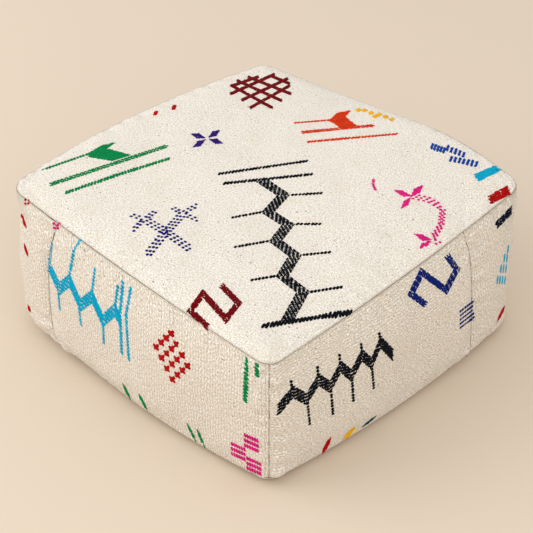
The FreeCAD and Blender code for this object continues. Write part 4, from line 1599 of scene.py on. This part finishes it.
MOUTH_EASE = 0.003
MOUTH_BLEND = 0.070
RIM_GAP = 0.0006
RIM_STEPS = 7
BASE_ROUGH = 0.0004
OFF_FLOOR = 0.004


def dent_height(x, y, level, spread):
    """Height of the sloping-sided dent over the zip."""
    slope_x = (DENT_HALF_LENGTH + spread - np.abs(x)) / DENT_SLOPE
    slope_y = (DENT_HALF_WIDTH + spread - np.abs(y)) / DENT_SLOPE
    return level * smooth_step(np.minimum(slope_x, slope_y))


def foot_ring(cells, inset, z):
    """Ring round the flat of the base, inside its tuck."""
    return ring(cells, full_outline, inset + tuck_at(ring_lengths(cells)), z)


def base_plan(cells, inset):
    """Plan grid of the base inside its tuck, with its middle row on the zip's line."""
    grid = patch(foot_ring(cells, inset, 0.0))
    middle = cells // 2
    share = 1 - np.abs(np.linspace(-1, 1, cells + 1))
    grid[..., 1] -= grid[:, middle:middle + 1, 1] * share[None, :]
    return grid


def make_base(name, side):
    """One half of the base: the flat of the floor, its tuck up to the sides and the dent."""
    half = BASE_CELLS // 2

    def half_of(values):
        return values[:, half:] if side > 0 else values[:, :half + 1][:, ::-1]

    def outer_edge(numbers):
        return np.concatenate([numbers[-1, :], numbers[-2::-1, -1], numbers[0, -2::-1]])

    grid = half_of(base_plan(BASE_CELLS, 0.0))
    x = grid[..., 0]
    across = np.abs(grid[..., 1])
    inside = (SLOT_HALF_LENGTH + MOUTH_EASE - np.abs(x)) / (2 * MOUTH_EASE)
    mouth = SEAM_GAP + SLOT_HALF_WIDTH * smooth_step(inside)
    across = np.where(across < MOUTH_BLEND, mouth + across * (1 - mouth / MOUTH_BLEND), across)
    grid[..., 1] = side * across
    grid[..., 2] = dent_height(x, grid[..., 1], DENT_DEPTH, 0.0)
    rough = lumps(81, 0.03, 0.09)(grid)
    off_floor = smooth_step(grid[..., 2] / OFF_FLOOR)
    grid[..., 2] += BASE_ROUGH * (1 + rough) * (0.35 + 0.25 * off_floor)
    index = grid_numbers(grid)
    points = [grid.reshape(-1, 3)]
    faces = [grid_quads(index)]
    last = outer_edge(index)
    around = len(last)
    on_ring = outer_edge(half_of(ring_numbers(BASE_CELLS)))
    tuck = tuck_at(ring_lengths(BASE_CELLS))
    last_turn = np.arcsin(1 - (BASE_SEAM - RIM_GAP) / tuck)
    for share in np.linspace(0, 1, RIM_STEPS)[1:]:
        turn = QUARTER + (last_turn - QUARTER) * share
        rim = ring(BASE_CELLS, full_outline, tuck * (1 - np.cos(turn)), tuck * (1 - np.sin(turn)))
        row = rim[on_ring]
        row[[0, -1], 1] = side * SEAM_GAP
        current = index.size + (len(points) - 1) * around + np.arange(around)
        points.append(row)
        faces.append(grid_quads(np.stack([last, current])))
        last = current
    starts = index.size + around * np.arange(RIM_STEPS - 1)
    ends = starts + around - 1
    loop = np.concatenate([index[:, 0], starts, last[1:-1], ends[::-1]])
    faces = np.concatenate(faces)
    if side > 0:
        faces = faces[:, ::-1]
        loop = loop[::-1]
    return cloth_piece(name, np.concatenate(points), faces, loop, CANVAS, canvas)


base_front = make_base("canvas_front", -1)
base_back = make_base("canvas_back", 1)

# Liner, wadding and foam.

LINER_DEPTH = 0.0088
LINER_TOP_DEPTH = 0.0075
LINER_FLOOR = 0.0032
LINER_INSET = 0.004
LINER_SPREAD = 0.0035
BAND_TOP = 0.985
BAND_ROWS = 25
BAND_CLOTH = 0.2
BATT_DEPTH = LINER_DEPTH + CALICO + 0.0006
BATT_CROWN_DEPTH = 0.0095
BATT_CROWN_INSET = 0.001
BATT_LEAST = 0.0016
BATT_FLOOR = 0.0046
BATT_INSET = 0.006
BATT_DENT = LINER_DENT - 0.0034
BATT_ROWS = 14
LAYER_GAP = 0.0004
CORE_GAP = 0.0005
UNDER_CORE = 0.0006
FOAM_BEVEL = 0.003


def skin(rings, joined):
    """Points and faces of a surface through rings, the last joined to the first or not."""
    numbers = closed(np.arange(len(rings) * len(rings[0])).reshape(len(rings), -1))
    if joined:
        numbers = np.concatenate([numbers, numbers[:1]])
    return np.concatenate(rings), grid_quads(numbers)[:, ::-1]


def capped(rings, floor, ceiling):
    """Closed solid: rings from the floor up, with a grid over each end shaped by a height function."""
    points, faces = skin(rings, False)
    around = len(rings[0])
    cells = around // 4
    inside = ring_numbers(cells) < 0
    for height, start, flip in ((floor, 0, True), (ceiling, (len(rings) - 1) * around, False)):
        grid = patch(points[start:start + around])
        grid[..., 2] = height(grid[..., 0], grid[..., 1])
        numbers = ring_numbers(cells) + start
        numbers[inside] = len(points) + np.arange(inside.sum())
        points = np.concatenate([points, grid[inside]])
        quads = grid_quads(numbers)
        faces = np.concatenate([faces, quads[:, ::-1] if flip else quads])
    return points, faces


def level_at(z):
    """Height function of a flat end."""
    return lambda x, y: np.full_like(x, z)


def side_ring(depth, z):
    """Ring on the stuffed sides at a depth and a height."""
    lengths = ring_lengths(LINER_CELLS)
    seam = seam_height(place_at(lengths), depth)
    return side_points(lengths, (z - BASE_SEAM) / (seam - BASE_SEAM), depth)


def lining_sheet(name, grid, flip):
    """Thin calico sheet on a grid of points."""
    numbers = grid_numbers(grid)
    faces = grid_quads(numbers)
    loop = grid_loop(numbers)
    if flip:
        faces = faces[:, ::-1]
        loop = loop[::-1]
    return cloth_piece(name, grid.reshape(-1, 3), faces, loop, CALICO, calico)


liner_grid = patch(ring(LINER_CELLS, seam_outline, LINER_DEPTH, 0.0))
liner_grid[..., 2] = top_height(liner_grid[..., 0], liner_grid[..., 1]) - LINER_TOP_DEPTH
bag_top = lining_sheet("bag_top", liner_grid, False)

band_length, band_level = np.meshgrid(ring_lengths(LINER_CELLS), np.linspace(0.0, BAND_TOP, BAND_ROWS))
band_rings = side_points(band_length, band_level, LINER_DEPTH)
inner_rings = side_points(band_length, band_level, LINER_DEPTH + CALICO)
band_uv = np.stack([band_length, band_level * BAND_CLOTH], axis=-1)
band_uv = np.concatenate([band_uv, band_uv[::-1]]).reshape(-1, 2)
bag_band = new_object("bag_band", *skin([*band_rings, *inner_rings[::-1]], True), calico, band_uv)

floor_grid = base_plan(LINER_CELLS, LINER_INSET)
floor_grid[..., 2] = LINER_FLOOR + dent_height(
    floor_grid[..., 0], floor_grid[..., 1], LINER_DENT - LINER_FLOOR, LINER_SPREAD)
bag_base = lining_sheet("bag_base", floor_grid, True)


def crown_space(x, y):
    """Upper side of the wadding: under the liner's top, and never too thin over the foam."""
    return np.maximum(top_height(x, y) - BATT_CROWN_DEPTH, CORE_TOP + BATT_LEAST)


def base_space(x, y):
    """Underside of the wadding: over the liner's base and its dent."""
    return BATT_FLOOR + dent_height(x, y, BATT_DENT, BATT_INSET)


def core_outline(reach, radius, z):
    """Ring round the foam block, matched to the rings of the stuffed form."""
    guide = seam_outline(place_at(ring_lengths(LINER_CELLS)))
    straight = reach - radius
    kept = np.clip(guide, -straight, straight)
    points = kept + unit(guide - kept) * radius
    return np.concatenate([points, np.full((len(points), 1), z)], axis=1)


crown_ring = ring(LINER_CELLS, seam_outline, BATT_DEPTH + BATT_CROWN_INSET, 0.0)
crown_ring[:, 2] = crown_space(crown_ring[:, 0], crown_ring[:, 1])
top_rings = [side_ring(BATT_DEPTH, CORE_TOP + LAYER_GAP), crown_ring]
batt_top = new_object(
    "batt_top", *capped(top_rings, level_at(CORE_TOP + LAYER_GAP), crown_space), wadding)

batt_levels = np.linspace(CORE_BOTTOM + LAYER_GAP, CORE_TOP - LAYER_GAP, BATT_ROWS)
outer_rings = [side_ring(BATT_DEPTH, level) for level in batt_levels]
core_rings = [core_outline(CORE_HALF + CORE_GAP, CORE_RADIUS, level) for level in batt_levels]
batt_band = new_object("batt_band", *skin([*outer_rings, *core_rings[::-1]], True), wadding)

base_rings = [
    foot_ring(LINER_CELLS, BATT_INSET, BATT_FLOOR),
    side_ring(BATT_DEPTH, CORE_BOTTOM - UNDER_CORE),
]
batt_base = new_object(
    "batt_base", *capped(base_rings, base_space, level_at(CORE_BOTTOM - UNDER_CORE)), wadding)

foam_rings = [
    core_outline(CORE_HALF - inset, CORE_RADIUS - inset, level) for level, inset in (
        (CORE_BOTTOM, FOAM_BEVEL),
        (CORE_BOTTOM + FOAM_BEVEL, 0.0),
        ((CORE_BOTTOM + CORE_TOP) / 2, 0.0),
        (CORE_TOP - FOAM_BEVEL, 0.0),
        (CORE_TOP, FOAM_BEVEL))]
foam_block = new_object(
    "foam_block", *capped(foam_rings, level_at(CORE_BOTTOM), level_at(CORE_TOP)), foam)

# Zip tapes, their stitching, and finishes of the zip's rigid parts.

TAPE_COLUMNS = 220
TAPE_ROWS = 8
TAPE_RIPPLE = 0.00012
TAPE_STITCH_ROWS = (0.0092, 0.0135)
TAPE_STITCH_PITCH = 0.0038
TAPE_STITCH = (0.0030, 0.0007, 0.0007)
TAPE_STITCH_END = 0.004
TAPE_STITCH_SINK = 0.0001


def make_tape(node):
    """Woven tape with a slight ripple along its free edge."""
    low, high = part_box(node)
    x, y = np.meshgrid(
        np.linspace(low.x, high.x, TAPE_COLUMNS), np.linspace(low.y, high.y, TAPE_ROWS), indexing="ij")
    middle = (low.z + high.z) / 2
    half = (high.z - low.z) / 2
    free = np.abs(y) / max(abs(low.y), abs(high.y))
    ripple = TAPE_RIPPLE * wave(91, 0.02, 0.06)(x) * smooth_step((free - 0.5) / 0.5)
    grid = np.stack([x, y, middle + half + ripple], axis=-1)
    numbers = grid_numbers(grid)
    points = grid.reshape(-1, 3)
    up = np.tile([0.0, 0.0, 1.0], (len(points), 1))
    return cloth_piece(
        f"{node}_cloth", points, grid_quads(numbers), grid_loop(numbers), 2 * half, tape_cloth, normals=up)


def base_stitches(name, side):
    """Two rows of stitches that hold a tape to the canvas."""
    stitches = Motif(name, "thread", "base")
    last = SLOT_HALF_LENGTH - TAPE_STITCH_END
    x = np.arange(-last, last, TAPE_STITCH_PITCH)
    heading = np.tile([1.0, 0.0, 0.0], (len(x), 1))
    normal = np.tile([0.0, 0.0, -1.0], (len(x), 1))
    for away in TAPE_STITCH_ROWS:
        y = np.full(len(x), side * away)
        z = np.full(len(x), DENT_DEPTH + TAPE_STITCH_SINK)
        stitches.even_row(np.stack([x, y, z], axis=1), heading, normal, TAPE_STITCH)
    stitches.build()


tapes = {node: make_tape(node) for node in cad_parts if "tape" in node}
base_stitches("thread_tape_front", -1)
base_stitches("thread_tape_back", 1)

FINISHES = {"teeth": teeth, "stop": brass, "slider": brass, "pull": brass}
for name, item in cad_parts.items():
    for word, material in FINISHES.items():
        if word in name and "tape" not in name:
            item.data.materials.clear()
            item.data.materials.append(material)

# Every piece rides on the pouf; the parts it stands in for are hidden.

for key, panel in panels.items():
    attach(panel.object, "pouf")
    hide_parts(panel.node)
for item, face in motif_pieces:
    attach(item, "pouf")
for item, node, slot in (
        (base_front, "base_front", "base_canvas"), (base_back, "base_back", "base_canvas"),
        (bag_top, "liner_top", "calico"), (bag_band, "liner_band", "calico"),
        (bag_base, "liner_base", "calico"),
        (batt_top, "wadding_top", "wadding"), (batt_band, "wadding_band", "wadding"),
        (batt_base, "wadding_base", "wadding"), (foam_block, "foam_core", "foam")):
    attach(item, "pouf")
    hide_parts(node)
for node, item in tapes.items():
    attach(item, "pouf")
    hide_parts(node)


# Floor and light.

FLOOR_COLOR = linear(218, 203, 185)
backdrop = Surface("floor_backdrop")
floor_place = backdrop.object_place()
mottle = backdrop.noise(floor_place, 2.2, 3.0)
fine = backdrop.noise(floor_place, 240.0, 2.0)
floor_shade = backdrop.blend(backdrop.times(mottle, 0.3), FLOOR_COLOR, toned(FLOOR_COLOR, 0.96))
backdrop.finish(floor_shade, 0.85, backdrop.bump(fine, 0.0004, 0.1), Specular_IOR_Level=0.2)
# From below the floor is see-through.
tree = backdrop.tree
facing = tree.nodes.new("ShaderNodeNewGeometry")
see_through = tree.nodes.new("ShaderNodeBsdfTransparent")
choice = tree.nodes.new("ShaderNodeMixShader")
tree.links.new(facing.outputs["Backfacing"], choice.inputs[0])
tree.links.new(backdrop.shader.outputs[0], choice.inputs[1])
tree.links.new(see_through.outputs[0], choice.inputs[2])
tree.links.new(choice.outputs[0], tree.nodes["Material Output"].inputs[0])
# It is open under the pouf, so light reaches the base when that is looked at from below.
FLOOR_HALF = 9.0
FLOOR_LEVEL = -0.0004
OPENING_INSET = 0.012
OPENING_CELLS = 24
opening = foot_ring(OPENING_CELLS, OPENING_INSET, FLOOR_LEVEL)
floor_rim = opening * (FLOOR_HALF / np.abs(opening).max(axis=1, keepdims=True))
floor_rim[:, 2] = FLOOR_LEVEL
floor_faces = grid_quads(closed(np.arange(2 * len(opening)).reshape(2, -1)))
floor = new_object("floor", np.concatenate([opening, floor_rim]), floor_faces, backdrop.material)

world = bpy.data.worlds.new("studio")
scene.world = world
world.use_nodes = True
sky = world.node_tree.nodes["Background"]
sky.inputs["Color"].default_value = (1.0, 0.975, 0.94, 1.0)
sky.inputs["Strength"].default_value = 0.895
LAMP_AIM = Vector((0, 0, 0.1))


def lamp(name, place, size, power, color):
    """Large soft area lamp."""
    data = bpy.data.lights.new(name, "AREA")
    data.shape = "SQUARE"
    data.size = size
    data.energy = power
    data.color = color
    item = bpy.data.objects.new(name, data)
    item.location = place
    item.rotation_mode = "QUATERNION"
    item.rotation_quaternion = (LAMP_AIM - Vector(place)).to_track_quat("-Z", "Y")
    scene.collection.objects.link(item)


lamp("key", (-2.1, -1.9, 1.7), 3.0, 52, (0.985, 0.99, 1.0))
lamp("fill", (2.3, -1.2, 1.6), 2.6, 21, (1.0, 0.97, 0.93))

scene.view_settings.view_transform = "Standard"
